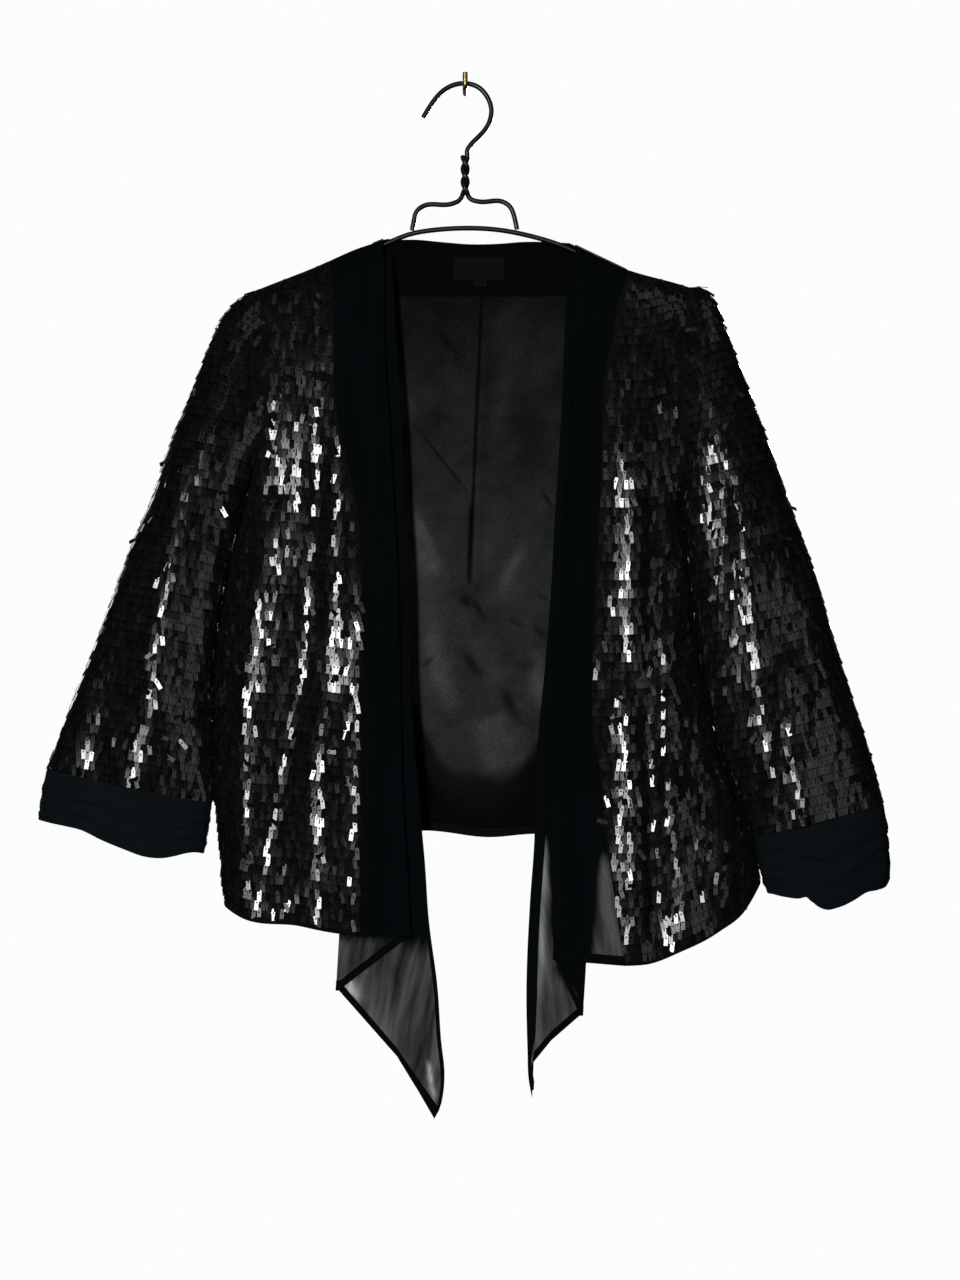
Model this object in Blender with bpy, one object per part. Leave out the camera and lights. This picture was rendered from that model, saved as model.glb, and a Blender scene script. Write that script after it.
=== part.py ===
"""A sequinned open-front jacket hung flat on a wire hanger from a small brass wall hook.

Metres, +Z up. The origin is the wall end of the hook's shank, the wall is the plane y = 0, and
the jacket hangs on the side of negative y. Tables are in millimetres, heights are measured up
from the shank's middle line, and left and right are those of someone facing the jacket.
"""

import bpy
import numpy as np

MM = 0.001

# Driving dimensions, in millimetres
HANGER_Y = -28.0            # plane in which the hanger's wires lie
WIRE_RADIUS = 2.0           # lacquered hanger wire, 4 mm thick
BAR_DROP = 5.0              # middle of the shoulder bar below the cloth's crest line
BAR_ENDS = (-179.0, 193.0)  # where the shoulder bar ends, just short of the sleeve caps
SEAM_GAP = 0.3              # gap between pieces that are sewn to each other
ARMHOLE_GAP = 0.8           # the same at the curved armholes
SEQUINNED_WALL = 1.6        # base cloth with its layer of sequins
SLEEVE_WALL = 1.4
CHIFFON_WALL = 1.0
LINING_WALL = 1.0
BINDING_WALL = 1.0
BINDING_HEIGHT = 5.5
CUFF_WALL = 1.2
FRONT_DEPTH = 24.0          # how far the fronts stand before the hanger's plane
BACK_DEPTH = 21.0           # how far the back stands behind it
HEM_SWELL = 6.0             # extra depth of the fronts at the hem
CREST_LENGTH = 80.0         # drop over which the cloth falls away from the shoulder bar
SIDE_LENGTH = 30.0          # width over which the body rounds off towards its side seams
ARMHOLE_ROUND = 90.0        # height over which the armhole closes towards the underarm
SLEEVE_CLEARANCE = 0.7      # between a sleeve and the side of the body, seen from the front
SLEEVE_FORWARD = 7.0        # how far a sleeve hangs before the plane of the side seams
LAYER_STEP = 3.4            # from one layer of a waterfall front to the next
HIDDEN_LAYERS_ROW = 3       # grid row, 20 mm down, where the layers behind the first start
FRONT_HEIGHT = 570.0        # mean drop of the fronts, back and waterfalls, from crest to foot
BACK_HEIGHT = 530.0
WATERFALL_HEIGHT = 760.0

# Crest of the shoulders, where fronts and back meet over the hanger's bar
CREST = {
    "x": (-190, -175, -133, -97, -70, -57, -25, 0, 29, 53, 90, 104, 138, 193, 204),
    "z": (-181.5, -175.5, -159, -143, -133.5, -127, -120.7, -119.3, -120.7, -125.1, -136.5,
          -143, -159, -175, -178.5),
}

# Free edge of the back neck, below the bar
NECK = {
    "x": (-70, -57, -45, -20, 5, 30, 51, 72, 92),
    "z": (-133.6, -133.8, -133.6, -135.6, -137.4, -137, -135.6, -135.8, -137.4),
}

# Side of the body from the shoulder point down: the armhole, then the side seam
SIDE = {
    "left": {
        "z": (-178, -208, -235, -266, -296, -332, -358, -390, -420, -490, -543, -587, -631,
              -675, -714, -726),
        "x": (-182, -175, -173, -173, -177, -184, -192, -201, -208, -220, -224, -224, -221,
              -217, -214, -212),
    },
    "right": {
        "z": (-177, -205, -235, -266, -296, -332, -367, -390, -420, -490, -543, -596, -641,
              -675, -706),
        "x": (198, 194, 191, 190, 189, 188.5, 189, 193, 198, 206, 215, 228, 246, 257, 261),
    },
}
UNDERARM = {"left": -358.0, "right": -367.0}

# Lines of a waterfall front, top to bottom, one table a line, as x at each height
WATERFALL = {
    "left": {
        "seam": {
            "z": (-153.6, -182, -235, -279, -314, -349, -384, -419, -543, -675, -750),
            "x": (-121, -117, -115, -114, -108, -99, -93, -91, -91, -91, -92),
        },
        "first_fold": {
            "z": (-134, -182, -235, -296, -367, -420, -490, -587, -644, -689, -750),
            "x": (-71, -71, -70, -66, -62, -59, -57, -55, -53, -50, -47),
        },
        "second_fold": {
            "z": (-150, -235, -367, -490, -613, -719, -798),
            "x": (-79, -80, -82, -89, -99, -108, -113),
        },
        "middle": {
            "z": (-150, -235, -367, -490, -613, -719, -798, -856),
            "x": (-72, -70, -67, -68, -70, -70, -66, -60),
        },
        "tail": {
            "z": (-150, -235, -367, -490, -613, -719, -798, -856, -887),
            "x": (-67, -63, -57, -54, -50, -44, -38, -36, -41),
        },
        "free_edge": {
            "z": (-150, -235, -296, -367, -420, -543, -587, -644, -689, -734, -797, -842,
                  -872, -888, -904, -911),
            "x": (-65, -60, -56, -53, -50, -47, -44, -39, -35, -32, -24, -21, -18, -19, -23,
                  -27),
        },
    },
    "right": {
        "seam": {
            "z": (-161.4, -194, -226, -251, -296, -341, -420, -467, -526, -573, -608, -644,
                  -690, -726, -776),
            "x": (145, 135, 130, 124, 121, 120, 116, 114, 112, 113, 119, 122, 128, 133, 141),
        },
        "first_fold": {
            "z": (-139, -305, -420, -543, -666, -771),
            "x": (96, 94, 89, 84, 77, 77),
        },
        "second_fold": {
            "z": (-155, -296, -420, -543, -655, -769, -820),
            "x": (104, 102, 98, 98, 104, 106, 103),
        },
        "middle": {
            "z": (-155, -296, -420, -543, -655, -769, -842),
            "x": (96, 94, 89, 85, 82, 80, 76),
        },
        "tail": {
            "z": (-155, -296, -420, -543, -655, -769, -842, -861),
            "x": (91, 88, 80, 72, 67, 62, 60, 60.5),
        },
        "free_edge": {
            "z": (-155, -184, -244, -305, -367, -457, -518, -579, -631, -666, -723, -798,
                  -852, -877, -893),
            "x": (89, 89, 87, 84, 80, 75, 70, 64, 62, 61, 57, 54, 55, 56, 59),
        },
    },
}

# Lower edge of each body piece
HEM = {
    "left": {"x": (-212, -198, -145, -114, -92), "z": (-726, -734, -741, -747, -750)},
    "right": {
        "x": (261, 246, 224, 191, 163, 141),
        "z": (-706, -729, -746, -763, -774, -776),
    },
    "back": {
        "x": (-212, -190, -150, -95, -37, 22, 61, 120, 190, 240, 261),
        "z": (-726, -712, -688, -669, -660, -666, -663, -667, -681, -697, -706),
    },
}

# Sleeve rings from the shoulder point and underarm to the cuff: the ring's outer end, and the
# height of its inner end, which lies beside the body
SLEEVE = {
    "left": {
        "outer_x": (-182, -198, -214, -228, -242, -260, -277, -297, -316, -335, -355, -369),
        "outer_z": (-178, -187, -204, -235, -270, -314, -365, -412, -465, -515, -564, -602),
        "inner_z": (-358, -363, -370, -381, -395, -416, -446, -483, -522, -559, -599, -632),
    },
    "right": {
        "outer_x": (198, 210, 221, 231, 243, 256, 273, 292, 308, 326, 341, 355, 369),
        "outer_z": (-177, -178, -190, -217, -249, -283, -330, -384, -428, -490, -538, -582, -632),
        "inner_z": (-367, -372, -379, -390, -404, -421, -455, -494, -534, -574, -609, -638, -662),
    },
}
SLEEVE_DEPTH = {"at": (0.0, 0.3, 0.65, 1.0), "front": (20, 25, 27, 24), "back": (17, 20, 20, 19)}

# Cuffs: the outer and inner end of each ring below the sleeve, and how far the lower edge dips
CUFF = {
    "left": {
        "outer_x": (-369.4, -373, -376, -377.5),
        "outer_z": (-603, -618, -635, -648),
        "inner_x": (-224, -226, -228.5, -231),
        "inner_z": (-633, -648, -664, -678),
        "dip": 11.0,
    },
    "right": {
        "outer_x": (369.4, 373, 375, 376),
        "outer_z": (-633, -652, -674, -701),
        "inner_x": (255.5, 260.5, 263.5, 267.5),
        "inner_z": (-663, -680, -697, -710),
        "dip": 20.0,
    },
}
CUFF_GATHERS = 5            # gathered folds round each cuff
CUFF_GATHER_HEIGHT = 2.6

# Largest folds: a straight line from top to foot, half width, and rise towards the viewer
FOLDS = {
    "front_left": (
        {"top": (-186, -400), "foot": (-204, -700), "half_width": 22, "rise": 5.0},
        {"top": (-128, -540), "foot": (-128, -745), "half_width": 18, "rise": 5.0},
        {"top": (-114, -270), "foot": (-114, -450), "half_width": 14, "rise": 3.5},
        {"top": (-124, -293), "foot": (-142, -510), "half_width": 14, "rise": -3.5},
        {"top": (-142, -510), "foot": (-180, -700), "half_width": 16, "rise": -4.5},
    ),
    "front_right": (
        {"top": (150, -300), "foot": (150, -480), "half_width": 13, "rise": 4.0},
        {"top": (150, -540), "foot": (150, -740), "half_width": 12, "rise": 4.0},
        {"top": (182, -462), "foot": (180, -600), "half_width": 15, "rise": 4.0},
        {"top": (180, -600), "foot": (200, -740), "half_width": 15, "rise": 4.5},
        {"top": (226, -640), "foot": (232, -720), "half_width": 13, "rise": 4.0},
        {"top": (168, -349), "foot": (160, -560), "half_width": 10, "rise": -3.5},
        {"top": (160, -560), "foot": (168, -730), "half_width": 10, "rise": -4.0},
    ),
    "back": (
        {"top": (-120, -380), "foot": (-140, -690), "half_width": 26, "rise": 3.5},
        {"top": (-20, -300), "foot": (-24, -665), "half_width": 22, "rise": 2.5},
        {"top": (80, -360), "foot": (96, -665), "half_width": 26, "rise": 3.5},
        {"top": (170, -420), "foot": (204, -690), "half_width": 20, "rise": 3.0},
    ),
    "sleeve_left": (
        {"top": (-246, -330), "foot": (-272, -520), "half_width": 14, "rise": 4.0},
        {"top": (-266, -530), "foot": (-300, -640), "half_width": 20, "rise": 4.0},
        {"top": (-300, -470), "foot": (-325, -600), "half_width": 16, "rise": -3.5},
    ),
    "sleeve_right": (
        {"top": (238, -330), "foot": (268, -600), "half_width": 15, "rise": 4.0},
        {"top": (222, -320), "foot": (228, -400), "half_width": 12, "rise": -3.0},
        {"top": (284, -500), "foot": (300, -650), "half_width": 13, "rise": 4.0},
    ),
    "lining": (
        {"top": (15, -184), "foot": (4, -470), "half_width": 6, "rise": 2.2},
    ),
}

# Back lining and neck facing, inside the back
LINING_GAP = 1.6            # between the back's wall and the lining
LINING_MARGIN = 24.0        # from the lining's sides to the side seams
LINING_ABOVE_HEM = 9.0      # from the lining's lower edge to the back's
LINING_FOOT_X = (-180.0, 210.0)
LINING_PLEAT = (0.455, 0.5225)  # fractions of its width at which the middle pleat has its sides
FACING_GAP = 0.9            # between the back's wall and the facing
FACING_ENDS = (-84.0, 106.0)
FACING_FOOT = -183.5        # lower edge of the back neck facing, where the lining starts
LABEL_CORNERS = ((-10.5, -149.0), (35.5, -170.0))
LABEL_GAP = 2.8             # between the back's wall and the label
SIZE_TAB_CORNERS = ((8.0, -168.0), (19.5, -175.5))
SIZE_TAB_GAP = 4.1
LABEL_WALL = 0.8

# Wire of the hanger, as bends (x, z) in its plane
HOOK_BENDS = ((-37, -26), (-29, -13), (-21, -3.5), (-11, 2.6), (0, 4.3), (11, 1.5), (19, -6.5),
              (23.5, -19), (20.5, -33), (12.5, -43), (5, -50), (1, -56))
TWIST_TOP = -61.0
TWIST_FOOT = -95.0
TWIST_TURNS = 1.5
TWIST_RADIUS = WIRE_RADIUS + 0.15
LEFT_ARM_BENDS = ((-4.5, -100), (-12, -103), (-38, -105), (-43, -109), (-45.5, -118), (-47, -126.1))
RIGHT_ARM_BENDS = ((4.5, -99), (12, -101), (34, -101), (40, -105), (43.5, -114), (46, -125.3))

# Brass wall hook: its shank comes out of the wall and its tip turns up
HOOK_SHANK_RADIUS = 2.0
HOOK_TIP_Y = -34.6
HOOK_TIP_Z = 12.5
HOOK_BEND_RADIUS = 3.4

# Fineness of the meshes
BODY_ROWS = 20
FRONT_COLUMNS = 15
BACK_COLUMNS = 21
LINING_ROWS = 14
LINING_COLUMNS = 13
FACING_ROWS = 7
RING_POINTS = 26
WIRE_SIDES = 8


def clear_scene():
    """Removes every object of the scene."""
    for old in list(bpy.data.objects):
        bpy.data.objects.remove(old, do_unlink=True)


def smooth(stations, values, at):
    """Cubic through a table's rows, with the mean slope of its two spans at each row."""
    s = np.asarray(stations, float)
    v = np.asarray(values, float)
    if s[0] > s[-1]:
        s, v = s[::-1], v[::-1]
    spans = np.diff(s)
    rises = np.diff(v) / spans
    slopes = np.empty_like(v)
    slopes[0], slopes[-1] = rises[0], rises[-1]
    slopes[1:-1] = (rises[:-1] * spans[1:] + rises[1:] * spans[:-1]) / (spans[1:] + spans[:-1])
    at = np.clip(np.asarray(at, float), s[0], s[-1])
    i = np.clip(np.searchsorted(s, at) - 1, 0, len(s) - 2)
    t = (at - s[i]) / spans[i]
    return (
        v[i] * (1 + 2 * t) * (1 - t) ** 2
        + slopes[i] * spans[i] * t * (1 - t) ** 2
        + v[i + 1] * t * t * (3 - 2 * t)
        + slopes[i + 1] * spans[i] * t * t * (t - 1)
    )


def crest(x):
    """Height of the shoulders' crest line at x."""
    return smooth(CREST["x"], CREST["z"], x)


def side_x(side, z):
    """Sideways place of the armhole and side seam at height z."""
    return smooth(SIDE[side]["z"], SIDE[side]["x"], z)


def eased(count, ease):
    """Rising values from 0 to 1 that start close together and then spread evenly."""
    s = np.linspace(0.0, 1.0, count)
    return np.sqrt(ease**2 + s**2 * (1 + 2 * ease)) - ease


def eased_both(count, ease):
    """Rising values from 0 to 1 that lie closer together at both ends."""
    half = eased(count // 2 + 1, ease)
    return np.concatenate((half / 2, 1 - half[::-1][1:] / 2))


def body_rows(height):
    """Row fractions from crest to hem, with one more just below the crest and at the binding."""
    rows = eased(BODY_ROWS, 0.2)
    rows = np.insert(rows, 1, rows[1] / 4)
    return np.insert(rows, -1, 1 - BINDING_HEIGHT / height)


def falling(drop, length):
    """Share of the full depth that hanging cloth has reached at a drop below its support."""
    return np.tanh(np.sqrt(np.maximum(drop, 0.0) / length))


def armhole_share(side, z):
    """Share of the depth at the armhole's edge: full above, closing as a quarter circle."""
    height = np.clip((z - UNDERARM[side]) / ARMHOLE_ROUND, 0.0, 1.0)
    return np.sqrt(1 - (1 - height) ** 2)


def rounding(side, x, z):
    """Share of the depth near a side of the body, where front and back close on each other."""
    inward = np.abs(x - side_x(side, z))
    share = armhole_share(side, z)
    return share + (1 - share) * falling(inward, SIDE_LENGTH)


def folds(name, x, z):
    """Sum of a piece's folds: each a bell across its line that fades in and out along it."""
    total = np.zeros_like(x)
    for fold in FOLDS[name]:
        top = np.array(fold["top"], float)
        run = np.array(fold["foot"], float) - top
        length = np.hypot(*run)
        along = ((x - top[0]) * run[0] + (z - top[1]) * run[1]) / length**2
        across = ((x - top[0]) * run[1] - (z - top[1]) * run[0]) / length
        fade = np.clip((along + 0.15) / 0.3, 0, 1) * np.clip((1.25 - along) / 0.3, 0, 1)
        fade = fade * fade * (3 - 2 * fade)
        total += fold["rise"] * fade * np.exp(-((across / fold["half_width"]) ** 2))
    return total


def front_y(side, x, z):
    """Depth of the outer face of a front, from the crest, the side's rounding and the folds."""
    drop = crest(x) - z
    depth = FRONT_DEPTH * falling(drop, CREST_LENGTH) + HEM_SWELL * np.clip(drop / 600, 0, 1)
    near_side = np.clip(np.abs(x - side_x(side, z)) / SIDE_LENGTH, 0, 1)
    relief = folds("front_" + side, x, z) * near_side
    return HANGER_Y - depth * rounding(side, x, z) - relief


def back_y(x, z):
    """Depth of the outer face of the back, which lies next to the wall."""
    drop = crest(x) - z
    share = np.where(x < 0, rounding("left", x, z), rounding("right", x, z))
    inward = np.minimum(np.abs(x - side_x("left", z)), np.abs(x - side_x("right", z)))
    relief = folds("back", x, z) * np.clip(inward / SIDE_LENGTH, 0, 1)
    return HANGER_Y + BACK_DEPTH * falling(drop, CREST_LENGTH) * share - relief


def patch(top, foot, left, right, across, down):
    """Flat (x, z) grid between four edges: the sum of both blends less that of the corners."""
    u = across[None, :, None]
    v = down[:, None, None]
    corners = (
        (1 - u) * (1 - v) * top[0]
        + u * (1 - v) * top[-1]
        + (1 - u) * v * foot[0]
        + u * v * foot[-1]
    )
    return (
        (1 - v) * top[None] + v * foot[None] + (1 - u) * left[:, None] + u * right[:, None]
        - corners
    )


def line_down(table, top_z, foot_z, down):
    """Points (x, z) of an edge that runs from one height to another."""
    z = top_z + (foot_z - top_z) * down
    return np.stack((smooth(table["z"], table["x"], z), z), axis=-1)


def unit(vectors):
    """Vectors brought to length one."""
    return vectors / np.maximum(np.linalg.norm(vectors, axis=-1, keepdims=True), 1e-12)


def normals(grid, closed=False):
    """Outward normals of a grid, from its slopes along columns and rows."""
    if closed:
        wide = np.concatenate((grid[:, -1:], grid, grid[:, :1]), axis=1)
        across = np.gradient(wide, axis=1)[:, 1:-1]
    else:
        across = np.gradient(grid, axis=1)
    down = np.gradient(grid, axis=0)
    return unit(np.cross(across, down))


def without(direction, axis):
    """A direction with one axis taken out, for an edge that is cut square to that axis."""
    kept = direction.copy()
    kept[..., axis] = 0.0
    return unit(kept)


def add_object(name, points, faces, colour, roughness, metallic=0.0):
    """Object from points in millimetres and triangles, with its own material."""
    mesh = bpy.data.meshes.new(name)
    mesh.from_pydata((np.asarray(points) * MM).tolist(), [], np.asarray(faces).tolist())
    mesh.validate()
    mesh.shade_smooth()
    material = bpy.data.materials.new(name)
    material.use_nodes = True
    shader = material.node_tree.nodes["Principled BSDF"]
    shader.inputs["Base Color"].default_value = (*colour, 1.0)
    shader.inputs["Roughness"].default_value = roughness
    shader.inputs["Metallic"].default_value = metallic
    mesh.materials.append(material)
    thing = bpy.data.objects.new(name, mesh)
    bpy.context.scene.collection.objects.link(thing)
    return thing


def border(faces):
    """Edges of a triangle mesh that only one triangle has, in that triangle's direction."""
    edges = np.concatenate((faces[:, (0, 1)], faces[:, (1, 2)], faces[:, (2, 0)]))
    base = faces.max() + 1
    return edges[~np.isin(edges[:, 0] * base + edges[:, 1], edges[:, 1] * base + edges[:, 0])]


def wall(name, outer, inner, finish, closed=False, absent=None):
    """Closed wall between an outer and an inner grid of the same rows and columns.

    absent marks cells of the grid, a row and a column less than its points, that are left out.
    """
    rows, columns = outer.shape[:2]
    points = np.concatenate((outer.reshape(-1, 3), inner.reshape(-1, 3)))
    number = np.arange(rows * columns).reshape(rows, columns)
    if closed:
        number = np.concatenate((number, number[:, :1]), axis=1)
    kept = np.ones((rows - 1, number.shape[1] - 1), bool) if absent is None else ~absent
    a, b = number[:-1, :-1][kept], number[:-1, 1:][kept]
    c, d = number[1:, 1:][kept], number[1:, :-1][kept]
    out = np.concatenate((np.stack((a, c, b), -1), np.stack((a, d, c), -1)))
    p, q = border(out).T
    r, s = q + rows * columns, p + rows * columns
    faces = np.concatenate((out, out[:, ::-1] + rows * columns,
                            np.stack((q, p, s), -1), np.stack((q, s, r), -1)))
    used, faces = np.unique(faces, return_inverse=True)
    points, faces = points[used], faces.reshape(-1, 3)
    if facing_in(points, faces):
        faces = faces[:, ::-1]
    return add_object(name, points, faces, **finish)


def facing_in(points, faces):
    """Whether a closed mesh is inside out: its signed volume is then below zero."""
    a, b, c = (points[faces[:, i]] for i in range(3))
    return np.einsum("ij,ij->", a, np.cross(b, c)) < 0


def tube(name, path, radius, finish, sides=WIRE_SIDES):
    """Round wire along a path, its rings turned as little as the path lets them, with caps."""
    along = unit(np.gradient(path, axis=0))
    frame = np.empty_like(path)
    start = np.cross(along[0], (0.0, 1.0, 0.3))
    frame[0] = start / np.linalg.norm(start)
    for i in range(1, len(path)):
        carried = frame[i - 1] - along[i] * (frame[i - 1] @ along[i])
        frame[i] = carried / np.linalg.norm(carried)
    other = np.cross(along, frame)
    angle = np.linspace(0, 2 * np.pi, sides, endpoint=False)[None, :, None]
    rings = path[:, None] + radius * (frame[:, None] * np.cos(angle) + other[:, None] * np.sin(angle))
    count = len(path)
    points = np.concatenate((rings.reshape(-1, 3), path[:1], path[-1:]))
    number = np.arange(count * sides).reshape(count, sides)
    number = np.concatenate((number, number[:, :1]), axis=1)
    a, b = number[:-1, :-1], number[:-1, 1:]
    c, d = number[1:, 1:], number[1:, :-1]
    first, last = count * sides, count * sides + 1
    faces = np.concatenate((
        np.stack((a, b, c), -1).reshape(-1, 3),
        np.stack((a, c, d), -1).reshape(-1, 3),
        np.stack((number[0, 1:], number[0, :-1], np.full(sides, first)), -1),
        np.stack((number[-1, :-1], number[-1, 1:], np.full(sides, last)), -1),
    ))
    if facing_in(points, faces):
        faces = faces[:, ::-1]
    return add_object(name, points, faces, **finish)


SEQUINS = {"colour": (0.035, 0.028, 0.026), "roughness": 0.35}
CHIFFON = {"colour": (0.006, 0.010, 0.012), "roughness": 0.75}
SATIN = {"colour": (0.030, 0.032, 0.033), "roughness": 0.4}
FACING_CLOTH = {"colour": (0.010, 0.010, 0.011), "roughness": 0.9}
LABEL_CLOTH = {"colour": (0.045, 0.045, 0.048), "roughness": 0.6}
LACQUER = {"colour": (0.008, 0.008, 0.009), "roughness": 0.3}
BRASS = {"colour": (0.42, 0.33, 0.13), "roughness": 0.35, "metallic": 1.0}


def front_grid(side):
    """Outer points of a front, from its side to the seam of its waterfall piece."""
    inward = 1.0 if side == "left" else -1.0
    down = body_rows(FRONT_HEIGHT)
    across = eased(FRONT_COLUMNS, 0.25)
    seam = WATERFALL[side]["seam"]
    top_x = (1 - across) * SIDE[side]["x"][0] + across * seam["x"][0]
    top = np.stack((top_x, crest(top_x)), axis=-1)
    foot_x = (1 - across) * HEM[side]["x"][0] + across * HEM[side]["x"][-1]
    foot = np.stack((foot_x, smooth(HEM[side]["x"], HEM[side]["z"], foot_x)), axis=-1)
    left = line_down(SIDE[side], top[0, 1], foot[0, 1], down)
    right = line_down(seam, top[-1, 1], foot[-1, 1], down)
    flat = patch(top, foot, left, right, across, down)
    x, z = flat[..., 0], flat[..., 1]
    grid = np.stack((x, front_y(side, x, z), z), axis=-1)
    grid[:, 0, 0] += inward * SEAM_GAP / 2
    grid[:, -1, 0] -= inward * SEAM_GAP / 2
    grid[0, :, 1] -= SEAM_GAP / 2
    below = grid[:, 0, 2] < UNDERARM[side]
    grid[below, 0, 1] -= SEAM_GAP / 2
    return grid


def wall_directions(grid, side, above_underarm):
    """Directions of a body wall's thickness, with square edges at crest, armhole and seam."""
    out = normals(grid)
    if out[len(out) // 2, out.shape[1] // 2, 1] > 0:
        out = -out
    out[0] = without(out[0], 1)
    out[0, :, 2] = np.abs(out[0, :, 2])
    out[above_underarm, 0] = without(out[above_underarm, 0], 0)
    out[1:, -1] = without(out[1:, -1], 0)
    side_edge = ~above_underarm
    out[side_edge, 0] = without(out[side_edge, 0], 1)
    return out


def add_front(side):
    """One sequinned front with the binding on the outside of its hem."""
    grid = front_grid(side)
    above = grid[:, 0, 2] > UNDERARM[side]
    above[0] = False
    out = wall_directions(grid, side, above)
    inner = grid - SEQUINNED_WALL * out
    wall("front_" + side, grid, inner, SEQUINS)
    add_binding("hem_binding_" + side, grid, out)


def add_binding(name, grid, out):
    """Narrow strip on a panel's last span, moved out from the panel's own points."""
    strip = grid[-2:, 1:-1]
    lift = out[-2:, 1:-1]
    lifted = strip + SEAM_GAP * lift
    wall(name, lifted + BINDING_WALL * lift, lifted, CHIFFON)


def back_top(x):
    """Top edge of the back: the crest on the shoulders, the free neck edge between them."""
    inside = (x > NECK["x"][0]) & (x < NECK["x"][-1])
    return np.where(inside, smooth(NECK["x"], NECK["z"], x), crest(x))


def back_grid():
    """Outer points of the back, from its left side to its right side."""
    down = body_rows(BACK_HEIGHT)
    across = eased_both(BACK_COLUMNS, 0.3)
    left_x, right_x = SIDE["left"]["x"][0], SIDE["right"]["x"][0]
    top_x = left_x + (right_x - left_x) * across
    top = np.stack((top_x, back_top(top_x)), axis=-1)
    foot_x = HEM["back"]["x"][0] + (HEM["back"]["x"][-1] - HEM["back"]["x"][0]) * across
    foot = np.stack((foot_x, smooth(HEM["back"]["x"], HEM["back"]["z"], foot_x)), axis=-1)
    left = line_down(SIDE["left"], top[0, 1], foot[0, 1], down)
    right = line_down(SIDE["right"], top[-1, 1], foot[-1, 1], down)
    flat = patch(top, foot, left, right, across, down)
    x, z = flat[..., 0], flat[..., 1]
    grid = np.stack((x, back_y(x, z), z), axis=-1)
    grid[:, 0, 0] += SEAM_GAP / 2
    grid[:, -1, 0] -= SEAM_GAP / 2
    grid[0, :, 1] += SEAM_GAP / 2
    grid[:, (0, -1), 1] += SEAM_GAP / 2
    return grid


def add_back():
    """The sequinned back, with the binding on the inside of its hem."""
    grid = back_grid()
    out = normals(grid)
    if out[len(out) // 2, out.shape[1] // 2, 1] < 0:
        out = -out
    on_bar = np.abs(grid[0, :, 2] - crest(grid[0, :, 0])) < 0.5
    out[0, on_bar] = without(out[0, on_bar], 1)
    out[0, on_bar, 2] = np.abs(out[0, on_bar, 2])
    for column, side in ((0, "left"), (-1, "right")):
        above = grid[:, column, 2] > UNDERARM[side]
        above[0] = False
        out[above, column] = without(out[above, column], 0)
        below = grid[:, column, 2] <= UNDERARM[side]
        out[below, column] = without(out[below, column], 1)
    inner = grid - SEQUINNED_WALL * out
    wall("back", grid, inner, SEQUINS)
    add_binding("hem_binding_back", inner, -out)


def inside_back(x, z, gap):
    """Points that lie inside the back's wall by a gap."""
    return np.stack((x, back_y(x, z) - SEQUINNED_WALL - gap, z), axis=-1)


def add_lining():
    """Satin lining of the back, from the facing down, with a pleat down its middle."""
    down = np.linspace(0, 1, LINING_ROWS)
    across = np.sort(np.concatenate((np.linspace(0, 1, LINING_COLUMNS), LINING_PLEAT)))
    foot_x = LINING_FOOT_X[0] + (LINING_FOOT_X[1] - LINING_FOOT_X[0]) * across
    foot_z = smooth(HEM["back"]["x"], HEM["back"]["z"], foot_x) + LINING_ABOVE_HEM
    z = FACING_FOOT - SEAM_GAP / 2 + (foot_z[None] - FACING_FOOT) * down[:, None]
    left = side_x("left", z) + LINING_MARGIN
    right = side_x("right", z) - LINING_MARGIN
    x = left + (right - left) * across[None]
    outer = inside_back(x, z, LINING_GAP)
    outer[..., 1] -= folds("lining", x, z)
    inner = outer.copy()
    inner[..., 1] -= LINING_WALL
    wall("back_lining", outer, inner, SATIN)


def facing_points(across, down):
    """Points on the wall side of the neck facing, for fractions across and down it."""
    x = FACING_ENDS[0] + (FACING_ENDS[1] - FACING_ENDS[0]) * across
    top = np.minimum(smooth(NECK["x"], NECK["z"], x) - 1.0, crest(x) - 8.0)
    z = top + (FACING_FOOT + SEAM_GAP / 2 - top) * down
    return inside_back(x, z, FACING_GAP)


def add_facing():
    """Back neck facing with its blank label and the blank tab under it."""
    across, down = np.meshgrid(np.linspace(0, 1, LINING_COLUMNS), np.linspace(0, 1, FACING_ROWS))
    outer = facing_points(across, down)
    inner = outer.copy()
    inner[..., 1] -= LINING_WALL
    wall("neck_facing", outer, inner, FACING_CLOTH)
    for name, corners, gap in (("label", LABEL_CORNERS, LABEL_GAP),
                               ("size_tab", SIZE_TAB_CORNERS, SIZE_TAB_GAP)):
        (x0, z0), (x1, z1) = corners
        x, z = np.meshgrid(np.linspace(x0, x1, 5), np.linspace(z0, z1, 4))
        near = inside_back(x, z, gap)
        far = near.copy()
        far[..., 1] -= LABEL_WALL
        wall(name, near, far, LABEL_CLOTH)


def sleeve_table(side):
    """Outer and inner ends (x, z) of a sleeve's rings."""
    table = SLEEVE[side]
    outward = -1.0 if side == "left" else 1.0
    outer = np.stack((table["outer_x"], table["outer_z"]), axis=-1).astype(float)
    inner_z = np.array(table["inner_z"], float)
    ease = np.clip(np.arange(len(inner_z)) / 3, 0, 1)
    inner_x = side_x(side, inner_z) + outward * SLEEVE_CLEARANCE * ease
    return outer, np.stack((inner_x, inner_z), axis=-1)


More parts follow.
